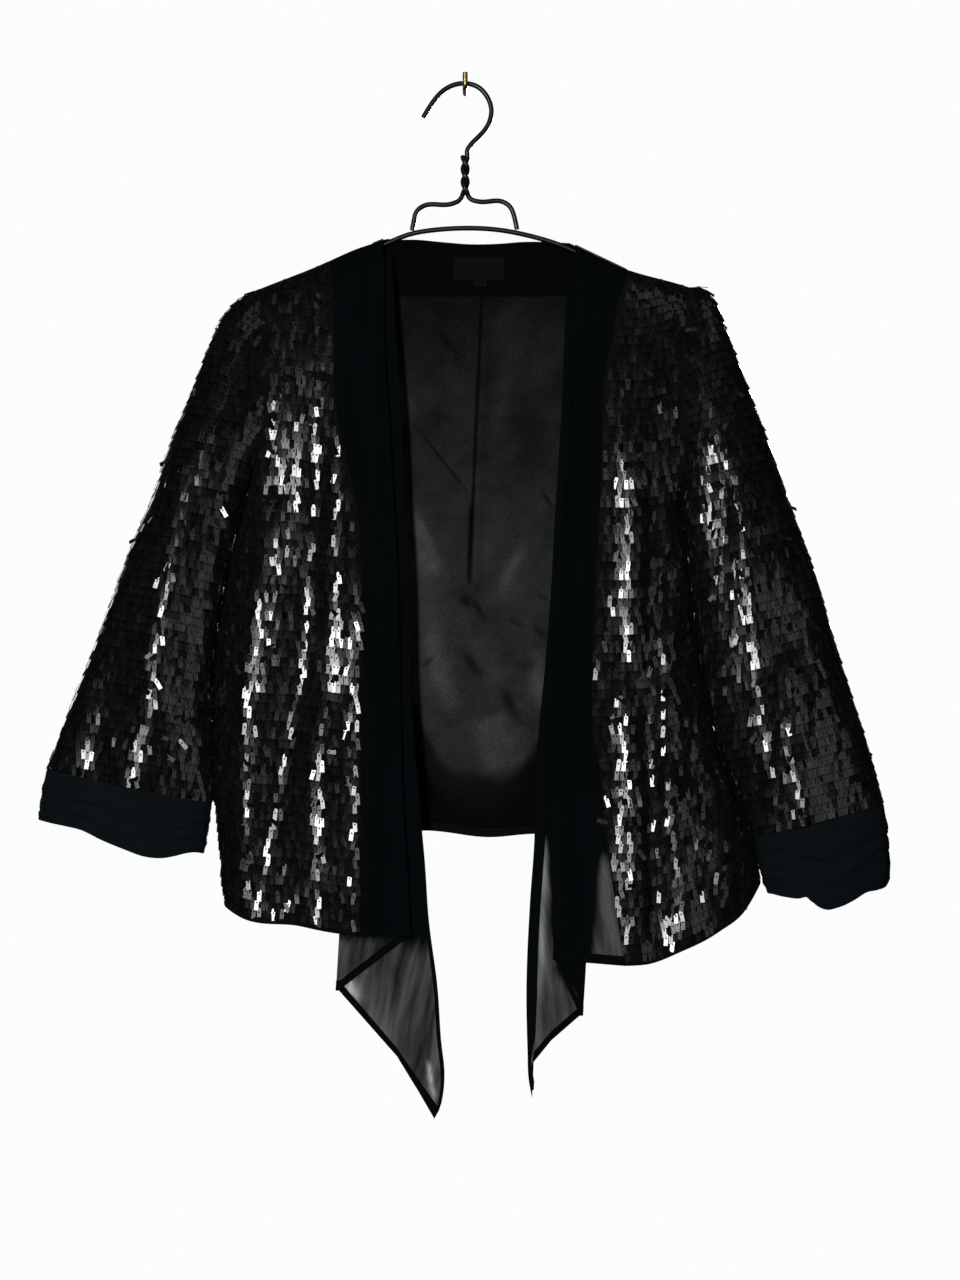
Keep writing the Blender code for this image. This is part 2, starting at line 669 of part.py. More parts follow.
def ring(outer, inner, front, back, middle):
    """Flattened rings between outer and inner ends: a half oval to the front, one behind."""
    angle = np.linspace(0, 2 * np.pi, RING_POINTS, endpoint=False)[None]
    share = (1 - np.cos(angle)) / 2
    bulge = np.abs(np.sin(angle)) ** 0.85
    depth = np.where(np.sin(angle) >= 0, -front[:, None], back[:, None]) * bulge
    x = outer[:, :1] + (inner[:, :1] - outer[:, :1]) * share
    z = outer[:, 1:] + (inner[:, 1:] - outer[:, 1:]) * share
    return np.stack((x, middle + depth, z), axis=-1)


def armhole_ring(side, rings):
    """First ring of a sleeve: the edge of front and back round the armhole, a gap off it."""
    outward = -1.0 if side == "left" else 1.0
    z = rings[0, :, 2]
    x = side_x(side, z) + outward * (ARMHOLE_GAP - SEAM_GAP / 2)
    front = front_y(side, side_x(side, z), z)
    back = back_y(side_x(side, z), z)
    facing = np.sin(np.linspace(0, 2 * np.pi, RING_POINTS, endpoint=False)) >= 0
    return np.stack((x, np.where(facing, front, back), z), axis=-1)


def add_sleeve(side):
    """Sleeve: a tube from the armhole to the cuff that hangs beside the body."""
    outer, inner = sleeve_table(side)
    rows = len(outer)
    at = np.linspace(0, 1, rows)
    front = smooth(SLEEVE_DEPTH["at"], SLEEVE_DEPTH["front"], at)
    back = smooth(SLEEVE_DEPTH["at"], SLEEVE_DEPTH["back"], at)
    fade = np.clip(1 - np.arange(rows) / 4, 0, 1)[:, None, None]
    rings = ring(outer, inner, front, back, HANGER_Y - SLEEVE_FORWARD * (1 - fade[..., 0]))
    rings = rings + (armhole_ring(side, rings) - rings[0])[None] * fade
    before = np.clip((HANGER_Y - SLEEVE_FORWARD - rings[..., 1]) / 18, 0, 1) * (1 - fade[..., 0])
    rings[..., 1] -= folds("sleeve_" + side, rings[..., 0], rings[..., 2]) * before
    out = outward_normals(rings)
    out[0] = without(out[0], 0)
    wall("sleeve_" + side, rings, rings - SLEEVE_WALL * out, SEQUINS, closed=True)
    return rings[-1]


def outward_normals(rings):
    """Normals of a tube's rings that point away from its middle."""
    out = normals(rings, closed=True)
    middle = rings.mean(axis=1, keepdims=True)
    flip = np.sign(np.sum(out * (rings - middle), axis=(1, 2), keepdims=True))
    return out * flip


def add_cuff(side):
    """Cuff: a plain band with gathered folds raised on its outside."""
    table = CUFF[side]
    rows = CUFF_GATHERS * 2 + 3
    at = np.linspace(0, 1, rows)
    stations = np.linspace(0, 1, len(table["outer_x"]))
    outer = np.stack([smooth(stations, table["outer_" + c], at) for c in "xz"], axis=-1)
    inner = np.stack([smooth(stations, table["inner_" + c], at) for c in "xz"], axis=-1)
    front = np.full(rows, SLEEVE_DEPTH["front"][-1] - 1.0)
    back = np.full(rows, SLEEVE_DEPTH["back"][-1] - 1.0)
    rings = ring(outer, inner, front, back, HANGER_Y - SLEEVE_FORWARD)
    angle = np.linspace(0, 2 * np.pi, RING_POINTS, endpoint=False)[None]
    rings[..., 2] -= table["dip"] * np.sin(angle / 2) ** 2 * np.abs(np.sin(angle)) * at[:, None]
    out = outward_normals(rings)
    turn = at[:, None] * CUFF_GATHERS * 2 * np.pi + 0.9 * np.sin(2 * angle) + 0.5 * np.sin(5 * angle)
    raised = CUFF_GATHER_HEIGHT * (0.5 - 0.5 * np.cos(turn)) * np.sin(np.pi * at[:, None]) ** 0.5
    wall("cuff_" + side, rings + out * raised[..., None], rings - CUFF_WALL * out, CHIFFON, closed=True)


def fold_section():
    """Columns of a Z folded piece: lines on both sides, share between them, layer, bend.

    Lines are counted from the seam: both folds, the last layer's middle, its tail, the free edge.
    """
    columns = []
    for start, stop, steps in ((0, 1, 5), (1, 2, 4), (2, 3, 3), (3, 4, 2), (4, 5, 1)):
        layer = min(start, 2)
        shares = np.linspace(0, 1, steps + 1)
        for share in shares[:-1] if stop in (3, 4) else shares:
            columns.append((start, stop, share, layer, 0.0))
        if stop in (1, 2):
            for turn in (0.25 * np.pi, 0.5 * np.pi, 0.75 * np.pi):
                columns.append((start, stop, 1.0, layer + (1 - np.cos(turn)) / 2, np.sin(turn)))
    return columns


def waterfall_grid(side):
    """Points of a waterfall front's face: its three layers and the two bends between them."""
    inward = 1.0 if side == "left" else -1.0
    down = body_rows(WATERFALL_HEIGHT)
    bend = LAYER_STEP / 2
    points = []
    for key in ("seam", "first_fold", "second_fold", "middle", "tail", "free_edge"):
        table = WATERFALL[side][key]
        points.append(line_down(table, float(crest(table["x"][0])), table["z"][-1], down))
    pull = (0.0, -bend * inward, bend * inward, 0.0, 0.0, 0.0)
    columns = []
    for start, stop, share, layer, bulge in fold_section():
        a = points[start] + (pull[start], 0.0)
        b = points[stop] + (pull[stop], 0.0)
        flat = a + (b - a) * share
        flat[:, 0] += bulge * bend * (inward if stop == 1 else -inward)
        x, z = flat[:, 0], flat[:, 1]
        y = front_y(side, x, z) + LAYER_STEP * layer
        columns.append(np.stack((x, y, z), axis=-1))
    grid = np.stack(columns, axis=1)
    grid[:, 0, 0] += inward * SEAM_GAP / 2
    grid[0, :, 1] -= SEAM_GAP / 2
    return grid


def waterfall_directions(side, grid):
    """Directions of a waterfall's thickness: level ones that follow its bends, but for the
    first layer, whose directions come from its own points."""
    inward = 1.0 if side == "left" else -1.0
    section = fold_section()
    out = np.zeros_like(grid)
    for column, (start, stop, share, layer, bulge) in enumerate(section):
        turned = np.cos(np.pi * layer)
        out[:, column] = (inward * bulge, -turned, 0.0)
    flat_columns = sum(1 for row in section if row[3] == 0)
    face = normals(grid[:, :flat_columns])
    if face[len(face) // 2, 1, 1] > 0:
        face = -face
    face[0] = without(face[0], 1)
    face[0, :, 2] = np.abs(face[0, :, 2])
    face[1:, 0] = without(face[1:, 0], 0)
    out[:, :flat_columns] = face
    return unit(out)


def add_waterfall(side):
    """Waterfall front: one wall of chiffon along the Z fold."""
    grid = waterfall_grid(side)
    out = waterfall_directions(side, grid)
    absent = np.zeros((grid.shape[0] - 1, grid.shape[1] - 1), bool)
    absent[:HIDDEN_LAYERS_ROW, np.array([row[3] for row in fold_section()])[1:] > 0] = True
    wall("waterfall_" + side, grid, grid - CHIFFON_WALL * out, CHIFFON, absent=absent)


def curve_through(bends, step):
    """Evenly spaced points of a smooth curve through hand-set bends (x, z)."""
    bends = np.asarray(bends, float)
    run = np.concatenate(((0.0,), np.cumsum(np.hypot(*np.diff(bends, axis=0).T))))
    count = max(int(round(run[-1] / step)), 2) + 1
    at = np.linspace(0, run[-1], count)
    return np.stack((smooth(run, bends[:, 0], at), smooth(run, bends[:, 1], at)), axis=-1)


def in_hanger_plane(flat):
    """Points (x, z) set into the hanger's plane."""
    return np.stack((flat[:, 0], np.full(len(flat), HANGER_Y), flat[:, 1]), axis=-1)


def twist(phase):
    """One strand of the twisted neck: a helix that ends on its own side."""
    turns = np.linspace(0, 1, 17)
    angle = 2 * np.pi * TWIST_TURNS * turns + phase
    z = TWIST_TOP + (TWIST_FOOT - TWIST_TOP) * turns
    return np.stack((TWIST_RADIUS * np.cos(angle), HANGER_Y + TWIST_RADIUS * np.sin(angle), z), -1)


def add_hanger():
    """Wire hanger: two wires twisted below the hook, and the bar that carries the shoulders."""
    left = np.concatenate((in_hanger_plane(curve_through(HOOK_BENDS, 6.0)), twist(0.0),
                           in_hanger_plane(curve_through(LEFT_ARM_BENDS, 5.0))))
    right = np.concatenate((twist(np.pi), in_hanger_plane(curve_through(RIGHT_ARM_BENDS, 5.0))))
    tube("hanger_hook_wire", left, WIRE_RADIUS, LACQUER)
    tube("hanger_second_wire", right, WIRE_RADIUS, LACQUER)
    x = np.linspace(*BAR_ENDS, 30)
    bar = np.stack((x, np.full_like(x, HANGER_Y), crest(x) - BAR_DROP), axis=-1)
    tube("hanger_shoulder_bar", bar, WIRE_RADIUS, LACQUER)


def add_wall_hook():
    """Brass hook: a straight shank out of the wall, a quarter bend and an upright tip."""
    turn = np.linspace(0, np.pi / 2, 5)
    bend_y = HOOK_TIP_Y + HOOK_BEND_RADIUS * (1 - np.sin(turn))
    bend_z = HOOK_BEND_RADIUS * (1 - np.cos(turn))
    y = np.concatenate(((0.0, -15.0), bend_y, (HOOK_TIP_Y,)))
    z = np.concatenate(((0.0, 0.0), bend_z, (HOOK_TIP_Z,)))
    path = np.stack((np.zeros_like(y), y, z), axis=-1)
    tube("wall_hook", path, HOOK_SHANK_RADIUS, BRASS, sides=12)


def main():
    """Builds every piece of the jacket, its hanger and the hook."""
    clear_scene()
    add_wall_hook()
    add_hanger()
    add_back()
    add_lining()
    add_facing()
    for side in ("left", "right"):
        add_front(side)
        add_waterfall(side)
        add_sleeve(side)
        add_cuff(side)


main()
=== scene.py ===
"""Looks of a sequinned open-front jacket on its wire hanger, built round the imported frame.

Lengths in the tables and functions are millimetres in the frame's own axes: x to the viewer's
right, y into the wall, z up, from the wall end of the brass hook. Left and right are the viewer's.
"""

from functools import partial

import bmesh
import bpy
import numpy as np
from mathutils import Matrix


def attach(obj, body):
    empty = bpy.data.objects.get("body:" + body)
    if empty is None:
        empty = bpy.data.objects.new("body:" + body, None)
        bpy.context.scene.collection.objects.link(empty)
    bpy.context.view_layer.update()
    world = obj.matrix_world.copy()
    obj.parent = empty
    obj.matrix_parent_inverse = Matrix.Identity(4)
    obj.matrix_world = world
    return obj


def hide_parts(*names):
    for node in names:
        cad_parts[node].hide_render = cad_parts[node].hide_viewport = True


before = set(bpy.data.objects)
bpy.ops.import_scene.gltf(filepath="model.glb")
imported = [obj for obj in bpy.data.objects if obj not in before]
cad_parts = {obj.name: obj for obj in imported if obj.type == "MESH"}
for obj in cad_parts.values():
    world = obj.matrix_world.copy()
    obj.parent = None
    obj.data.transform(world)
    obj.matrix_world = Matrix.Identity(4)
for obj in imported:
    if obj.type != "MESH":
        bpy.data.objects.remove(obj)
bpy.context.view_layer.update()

bl_info = {
    "name": "Sequinned jacket",
    "version": (1, 0, 0),
    "blender": (4, 5, 0),
    "location": "View3D > Sidebar > Jacket",
    "description": "Builds the cloth, sequins and stage of a jacket hung on a wire hanger",
    "category": "Object",
}

MM = 0.001
SIDES = ("left", "right")
INWARD = {"left": 1.0, "right": -1.0}
SEED = 6582

PANEL_ROWS, FRONT_COLUMNS, BACK_COLUMNS = 110, 60, 121
SLEEVE_ROWS, SLEEVE_COLUMNS = 100, 96
CUFF_ROWS, CUFF_COLUMNS = 64, 200
WATERFALL_ROWS, BEND_STEPS = 130, 8
WATERFALL_STEPS = (22, 14, 10, 8, 10)   # columns from each waterfall line to the next
LINING_ROWS, LINING_COLUMNS = 180, 190

HANGER_Y = -28.0
SEAM_GAP = 0.3
FRONT_DEPTH = 24.0
BACK_DEPTH = 21.0
HEM_SWELL = 6.0
CREST_LENGTH = 80.0
SIDE_LENGTH = 30.0
ARMHOLE_ROUND = 90.0
ARMHOLE_GAP = 0.8
SLEEVE_CLEARANCE = 0.7
SLEEVE_FORWARD = 7.0
LAYER_STEP = 3.4
HIDDEN_LAYERS_DROP = 20.0
EDGE_HEM = {
    "left": ((-911, -870), (2.4, 3.6)),
    "right": ((-893, -878, -858, -838, -805), (1.4, 5.0, 3.2, 7.5, 9.5)),
}
SHEER_BELOW = {"left": (-751.0, 0.50), "right": (-772.0, 0.30)}
BODY_WALL = 1.6
CLOTH_WALL = 0.6
CHIFFON_WALL = 1.0   # of the solid, round whose middle the thin sheet lies
CHIFFON_HALF = 0.2
HEM_HALF = 0.42
BINDING_HEIGHT = 5.5
SEAM_OVERLAP = 0.6      # of a front's cloth past the waterfall's seam
ARMHOLE_OVERLAP = 1.2   # of a sleeve's first ring under the body's cloth
METAL_COAT = 0.40       # a rounded wire's lost tenth of its radius, and its lacquer or tarnish

LINING_TOP = -183.65
FACING_FOOT = -183.35
FACING_LEFT, FACING_WIDTH = -84.0, 190.0
# Neck pieces: name, node, upper left and lower right corners, gap to the back's wall
NECK_PIECES = (
    ("blank_label", "label", (-10.5, -149.0), (35.5, -170.0), 2.8),
    ("blank_tab", "size_tab", (8.0, -168.0), (19.5, -175.5), 4.1),
)

VIEW_CENTRE = (0.0132, -0.05, -0.4898)   # metres
VIEW_HEIGHT = 1.1264
SENSOR = 36.0
LIGHT_AIM = (0.0, -0.05, -0.45)
PALE = (0.97, 0.975, 0.98, 1.0)

# Lights: name, share of the key's power, width, height, place
LIGHTS = (
    ("key", 1.0, 0.24, 0.80, (-0.58, -2.45, -0.16)),
    ("fill", 0.08, 1.0, 1.2, (1.6, -2.2, -0.2)),
    ("top", 0.06, 1.4, 1.0, (0.3, -1.3, 1.5)),
    ("rear", 1.0, 0.45, 0.80, (0.66, 2.35, -0.1)),
    ("rear_fill", 0.25, 1.2, 1.2, (-1.7, 1.9, 0.1)),
)
SEQUIN_THICKNESS = 0.14
HEM_CLEAR = 3.0   # bare cloth and binding below the last row of sequins
SEQUIN_HOLE = (4.1, 0.80)   # from the upper end to the hole's middle, and its radius

CREST = (
    (-190, -175, -133, -97, -70, -57, -25, 0, 29, 53, 90, 104, 138, 193, 204),
    (-181.5, -175.5, -159, -143, -133.5, -127, -120.7, -119.3, -120.7, -125.1, -136.5, -143,
     -159, -175, -178.5),
)
NECK = (
    (-70, -57, -45, -20, 5, 30, 51, 72, 92),
    (-133.6, -133.8, -133.6, -135.6, -137.4, -137, -135.6, -135.8, -137.4),
)
SIDE = {
    "left": (
        (-178, -208, -235, -266, -296, -332, -358, -390, -420, -490, -543, -587, -631, -675,
         -714, -726),
        (-182, -175, -173, -173, -177, -184, -192, -201, -208, -220, -224, -224, -221, -217,
         -214, -212),
    ),
    "right": (
        (-177, -205, -235, -266, -296, -332, -367, -390, -420, -490, -543, -596, -641, -675,
         -706),
        (198, 194, 191, 190, 189, 188.5, 189, 193, 198, 206, 215, 228, 246, 257, 261),
    ),
}
UNDERARM = {"left": -358.0, "right": -367.0}
WATERFALL_LINES = ("seam", "first_fold", "second_fold", "middle", "tail", "free_edge")
WATERFALL = {
    "left": {
        "seam": ((-153.6, -182, -235, -279, -314, -349, -384, -419, -543, -675, -750),
                 (-121, -117, -115, -114, -108, -99, -93, -91, -91, -91, -92)),
        "first_fold": ((-134, -182, -235, -296, -367, -420, -490, -587, -644, -689, -750),
                       (-71, -71, -70, -66, -62, -59, -57, -55, -53, -50, -47)),
        "second_fold": ((-150, -235, -367, -490, -613, -719, -798),
                        (-79, -80, -82, -89, -99, -108, -113)),
        "middle": ((-150, -235, -367, -490, -613, -719, -798, -856),
                   (-72, -70, -67, -68, -70, -70, -66, -60)),
        "tail": ((-150, -235, -367, -490, -613, -719, -798, -856, -887),
                 (-67, -63, -57, -54, -50, -44, -38, -36, -41)),
        "free_edge": ((-150, -235, -296, -367, -420, -543, -587, -644, -689, -734, -797, -842,
                       -872, -888, -904, -911),
                      (-65, -60, -56, -53, -50, -47, -44, -39, -35, -32, -24, -21, -18, -19,
                       -23, -27)),
    },
    "right": {
        "seam": ((-161.4, -194, -226, -251, -296, -341, -420, -467, -526, -573, -608, -644,
                  -690, -726, -776),
                 (145, 135, 130, 124, 121, 120, 116, 114, 112, 113, 119, 122, 128, 133, 141)),
        "first_fold": ((-139, -305, -420, -543, -666, -771), (96, 94, 89, 84, 77, 77)),
        "second_fold": ((-155, -296, -420, -543, -655, -769, -820),
                        (104, 102, 98, 98, 104, 106, 103)),
        "middle": ((-155, -296, -420, -543, -655, -769, -842), (96, 94, 89, 85, 82, 80, 76)),
        "tail": ((-155, -296, -420, -543, -655, -769, -842, -861),
                 (91, 88, 80, 72, 67, 62, 60, 60.5)),
        "free_edge": ((-155, -184, -244, -305, -367, -457, -518, -579, -631, -666, -723, -798,
                       -852, -877, -893),
                      (89, 89, 87, 84, 80, 75, 70, 64, 62, 61, 57, 54, 55, 56, 59)),
    },
}
HEM = {
    "left": ((-212, -198, -145, -114, -92), (-726, -734, -741, -747, -750)),
    "right": ((261, 246, 224, 191, 163, 141), (-706, -729, -746, -763, -774, -776)),
    "back": ((-212, -190, -150, -95, -37, 22, 61, 120, 190, 240, 261),
             (-726, -712, -688, -669, -660, -666, -663, -667, -681, -697, -706)),
}
SLEEVE = {
    "left": {
        "outer_x": (-182, -198, -214, -228, -242, -260, -277, -297, -316, -335, -355, -369),
        "outer_z": (-178, -187, -204, -235, -270, -314, -365, -412, -465, -515, -564, -602),
        "inner_z": (-358, -363, -370, -381, -395, -416, -446, -483, -522, -559, -599, -632),
    },
    "right": {
        "outer_x": (198, 210, 221, 231, 243, 256, 273, 292, 308, 326, 341, 355, 369),
        "outer_z": (-177, -178, -190, -217, -249, -283, -330, -384, -428, -490, -538, -582,
                    -632),
        "inner_z": (-367, -372, -379, -390, -404, -421, -455, -494, -534, -574, -609, -638,
                    -662),
    },
}
SLEEVE_DEPTH = {"at": (0.0, 0.3, 0.65, 1.0), "front": (20, 25, 27, 24), "back": (17, 20, 20, 19)}
CUFF = {
    "left": {
        "outer": ((-369.4, -603), (-373, -618), (-376, -635), (-377.5, -648)),
        "inner": ((-224, -633), (-226, -648), (-228.5, -664), (-231, -678)),
    },
    "right": {
        "outer": ((369.4, -633), (373, -652), (375, -674), (376, -701)),
        "inner": ((254.3, -663), (259.0, -680), (262.7, -697), (267.5, -710)),
    },
}

# Painted shadow on the lining: at each x, the height below which its painted tone is dark.
LINING_SHADE = ((-180, -60, -48, -35, -20, 10, 40, 57, 70, 80, 92, 210),
                (-500, -520, -540, -573, -600, -606, -610, -592, -573, -548, -530, -500))
CUFF_EDGE = {
    "left": ((-379, -365, -349, -338, -320, -302, -279, -266, -256, -245, -238, -229),
             (-648, -651, -654, -656.5, -665, -672.5, -680.5, -681.5, -680, -677.5, -677, -679)),
    "right": ((261, 265, 272, 282, 293, 301, 308, 317, 328, 344, 352, 364, 372, 377),
              (-706, -712, -714, -716, -717, -716, -722.5, -726.5, -724.5, -717, -712, -709.5,
               -706, -698)),
}

HANGER = ("wire_hook_side", "wire_second_side")
# Metal: name, node, slot
METAL = (
    (HANGER[0], "hanger_hook_wire", "lacquered_wire"),
    (HANGER[1], "hanger_second_wire", "lacquered_wire"),
    ("wire_shoulder_bar", "hanger_shoulder_bar", "lacquered_wire"),
    ("brass_wall_hook", "wall_hook", "brass"),
)

# Folds of each piece: the line's top x, z and foot x, z, its half width and its rise
FOLDS = {
    "front_left": (
        (-186, -400, -204, -700, 22, 5.0), (-128, -540, -128, -745, 18, 5.0),
        (-114, -270, -114, -450, 14, 3.5), (-124, -293, -142, -510, 14, -3.5),
        (-142, -510, -180, -700, 16, -4.5),
    ),
    "front_right": (
        (150, -300, 150, -480, 13, 4.0), (150, -540, 150, -740, 12, 4.0),
        (182, -462, 180, -600, 15, 4.0), (180, -600, 200, -740, 15, 4.5),
        (226, -640, 232, -720, 13, 4.0), (168, -349, 160, -560, 10, -3.5),
        (160, -560, 168, -730, 10, -4.0),
    ),
    "back": (
        (-120, -380, -140, -690, 26, 3.5), (-20, -300, -24, -665, 22, 2.5),
        (80, -360, 96, -665, 26, 3.5), (170, -420, 204, -690, 20, 3.0),
    ),
    "sleeve_left": (
        (-246, -330, -272, -520, 14, 4.0), (-266, -530, -300, -640, 20, 4.0),
        (-300, -470, -325, -600, 16, -3.5),
    ),
    "sleeve_right": (
        (238, -330, 268, -600, 15, 4.0), (222, -320, 228, -400, 12, -3.0),
        (284, -500, 300, -650, 13, 4.0),
    ),
    "cuff_left": (
        (-374, -628, -340, -634, 2.4, -1.0), (-378, -640, -350, -643, 1.8, -0.8),
        (-338, -633, -312, -640, 2.0, -0.7), (-324, -635.5, -314, -636, 1.4, -0.8),
        (-298, -650, -270, -655, 1.6, -0.9), (-290, -641, -240, -660, 2.6, -0.8),
        (-262, -648, -236, -652, 1.8, -0.9), (-300, -664, -262, -671, 2.2, -0.6),
    ),
    "cuff_right": (
        (345, -673.5, 373, -662.6, 1.8, -1.2), (345, -677.5, 373, -675.7, 1.6, -1.1),
        (276, -675.7, 297, -683, 1.7, -1.1), (297, -683, 322, -684, 1.6, -1.0),
        (280, -683.5, 292, -687.5, 1.5, -1.0), (292, -687.5, 312, -686, 1.5, -0.9),
        (280, -692, 288, -691, 1.3, -0.9), (284, -698, 291, -693.5, 1.4, -0.9),
        (304, -693.5, 323, -695.5, 1.7, -1.0), (323, -695.5, 345, -693.5, 1.6, -1.0),
        (345, -693.5, 354, -690, 1.4, -0.9), (322, -708.5, 343, -704.5, 1.8, -0.7),
        (300, -668, 330, -666, 2.5, -0.6), (268, -709, 296, -709.8, 1.6, -0.6),
    ),
    "lining": ((19, -184, 9, -438, 5, 1.6),),
    "lining_pleat": ((15, -180, 6.2, -380, 1.2, 1.0), (5.6, -372, 3.8, -432, 2.0, 1.0)),
    # Lining creases: their rise is relief, and the lining's painted tone also uses them for
    # painted shade in the troughs and a painted highlight on slopes that face the light.
    "lining_creases": (
        (-43, -299, 5, -360, 1.6, -0.7), (-28, -208, -6, -234, 3.5, -0.6),
        (67, -354, 80, -373, 1.6, -0.9), (30, -293, 52, -295, 3.0, -0.4),
        (-33, -286, -8, -294, 2.5, -0.5), (60, -262, 58, -350, 15, -0.5),
        (-4, -447, 7, -461, 4.0, -0.9), (1, -445, 20, -471, 2.5, -0.7),
        (39, -470, 55, -479, 2.5, -0.6), (60, -475, 76, -489, 4.0, -0.9),
        (-1, -498, 15, -523, 4.0, -0.8), (33, -531, 49, -562, 4.5, -0.9),
        (47, -515, 66, -509, 7.0, -0.7), (64, -448, 77, -455, 2.0, -0.7),
        (-37, -514, -24, -504, 2.5, -0.5), (-52, -560, -22, -650, 3.0, -0.8),
        (-60, -240, -52, -300, 9.0, 0.6), (44, -222, 30, -300, 9.0, 0.5),
        (-46, -372, -22, -430, 7.0, 0.6), (-30, -470, -8, -560, 9.0, 0.6),
        (60, -400, 34, -440, 7.0, 0.5), (12, -590, 32, -560, 8.0, 0.5),
    ),
    # Patches of painted sheen on the lining: rises added to its painted tone.
    "lining_painted_sheen": (
        (30, -200, 80, -240, 26, 0.14), (-50, -262, 0, -270, 16, 0.10),
        (20, -560, 34, -600, 20, 0.46), (58, -500, 70, -545, 10, 0.42),
        (-34, -410, -24, -520, 18, 0.20), (30, -440, 50, -450, 12, 0.16),
        (-50, -360, -38, -420, 10, 0.18), (16, -400, 14, -436, 7, 0.16),
        (10, -490, 30, -520, 9, 0.14), (-20, -540, 10, -560, 12, 0.14),
    ),
    "sheer_left": (
        (-104, -789, -98, -805, 6.5, 0.42), (-105, -754, -104, -786, 3.2, 0.10),
        (-32.6, -862, -27.3, -893, 2.2, 0.38),
        (-90, -790, -76, -850, 11, 0.04), (-62, -770, -50, -850, 9, -0.05),
        (-46, -600, -42, -740, 15, -0.27), (-60, -600, -54, -736, 14, -0.12),
    ),
    "sheer_right": (
        (70.5, -670, 66.5, -790, 2.6, 0.16), (60, -800, 58, -832, 2.0, 0.22),
        (66, -700, 62, -800, 5.0, 0.05), (98, -652, 132, -652, 22, -0.50),
        (113, -648, 104, -765, 6, -0.40), (84, -772, 104, -790, 8, -0.40),
        (102.5, -770, 103.5, -812, 3, -0.40), (79, -650, 80.5, -740, 4.5, -0.40),
        (64, -646, 84, -646, 13, -0.45),
    ),
}


def smooth(stations, values, at):
    """Cubic through a table's rows, with the mean slope of its two spans at each row."""
    s = np.asarray(stations, float)
    v = np.asarray(values, float)
    if s[0] > s[-1]:
        s, v = s[::-1], v[::-1]
    spans = np.diff(s)
    rises = np.diff(v) / spans
    slopes = np.empty_like(v)
    slopes[0], slopes[-1] = rises[0], rises[-1]
    slopes[1:-1] = (rises[:-1] * spans[1:] + rises[1:] * spans[:-1]) / (spans[1:] + spans[:-1])
    at = np.clip(np.asarray(at, float), s[0], s[-1])
    i = np.clip(np.searchsorted(s, at) - 1, 0, len(s) - 2)
    t = (at - s[i]) / spans[i]
    return (
        v[i] * (1 + 2 * t) * (1 - t) ** 2
        + slopes[i] * spans[i] * t * (1 - t) ** 2
        + v[i + 1] * t * t * (3 - 2 * t)
        + slopes[i + 1] * spans[i] * t * t * (t - 1)
    )


def crest(x):
    """Height of the shoulders' crest line at x."""
    return smooth(*CREST, x)


def side_x(side, z):
    """Sideways place of the armhole and side seam at height z."""
    return smooth(*SIDE[side], z)


def falling(drop, length):
    """Share of full depth at a drop: the hyperbolic tangent of the root of drop over length."""
    return np.tanh(np.sqrt(np.maximum(drop, 0.0) / length))


def rounding(side, x, z):
    """Share of the depth near a side: a quarter circle up the armhole, then falling inward."""
    height = np.clip((z - UNDERARM[side]) / ARMHOLE_ROUND, 0.0, 1.0)
    share = np.sqrt(1 - (1 - height) ** 2)
    return share + (1 - share) * falling(np.abs(x - side_x(side, z)), SIDE_LENGTH)


def folds(name, x, z, ease=0.3):
    """Sum of bells across the fold lines, each the rise times exp(-(across / width) squared),
    eased in and out along its line over that share of its length."""
    total = np.zeros_like(x)
    for top_x, top_z, foot_x, foot_z, width, rise in FOLDS[name]:
        run = np.array((foot_x - top_x, foot_z - top_z), float)
        length = np.hypot(*run)
        along = ((x - top_x) * run[0] + (z - top_z) * run[1]) / length**2
        across = ((x - top_x) * run[1] - (z - top_z) * run[0]) / length
        fade = np.clip((along + 0.15) / ease, 0, 1) * np.clip((1.25 - along) / ease, 0, 1)
        total += rise * fade * fade * (3 - 2 * fade) * np.exp(-((across / width) ** 2))
    return total


def front_y(side, x, z):
    """Depth of a front: the hanger's plane less the fallen depth, the hem's swell and folds."""
    drop = crest(x) - z
    depth = FRONT_DEPTH * falling(drop, CREST_LENGTH) + HEM_SWELL * np.clip(drop / 600, 0, 1)
    near_side = np.clip(np.abs(x - side_x(side, z)) / SIDE_LENGTH, 0, 1)
    return HANGER_Y - depth * rounding(side, x, z) - folds("front_" + side, x, z) * near_side


def back_y(x, z):
    """Depth of the back: the hanger's plane plus the fallen depth, less the folds."""
    drop = crest(x) - z
    share = np.where(x < 0, rounding("left", x, z), rounding("right", x, z))
    inward = np.minimum(np.abs(x - side_x("left", z)), np.abs(x - side_x("right", z)))
    relief = folds("back", x, z) * np.clip(inward / SIDE_LENGTH, 0, 1)
    return HANGER_Y + BACK_DEPTH * falling(drop, CREST_LENGTH) * share - relief


def unit(vectors):
    """Vectors brought to length one."""
    return vectors / np.maximum(np.linalg.norm(vectors, axis=-1, keepdims=True), 1e-12)


def grid_normals(grid, closed=False):
    """Cross product of a grid's slopes along its columns and rows, brought to length one."""
    if closed:
        wide = np.concatenate((grid[:, -1:], grid, grid[:, :1]), axis=1)
        across = np.gradient(wide, axis=1)[:, 1:-1]
    else:
        across = np.gradient(grid, axis=1)
    return unit(np.cross(across, np.gradient(grid, axis=0)))


def eased(count, ease):
    """Rising values from 0 to 1 that start close together and then spread evenly."""
    s = np.linspace(0.0, 1.0, count)
    return np.sqrt(ease**2 + s**2 * (1 + 2 * ease)) - ease


def line_down(table, top_z, foot_z, down):
    """Points (x, z) of an edge that runs from one height to another."""
    z = top_z + (foot_z - top_z) * down
    return np.stack((smooth(*table, z), z), axis=-1)


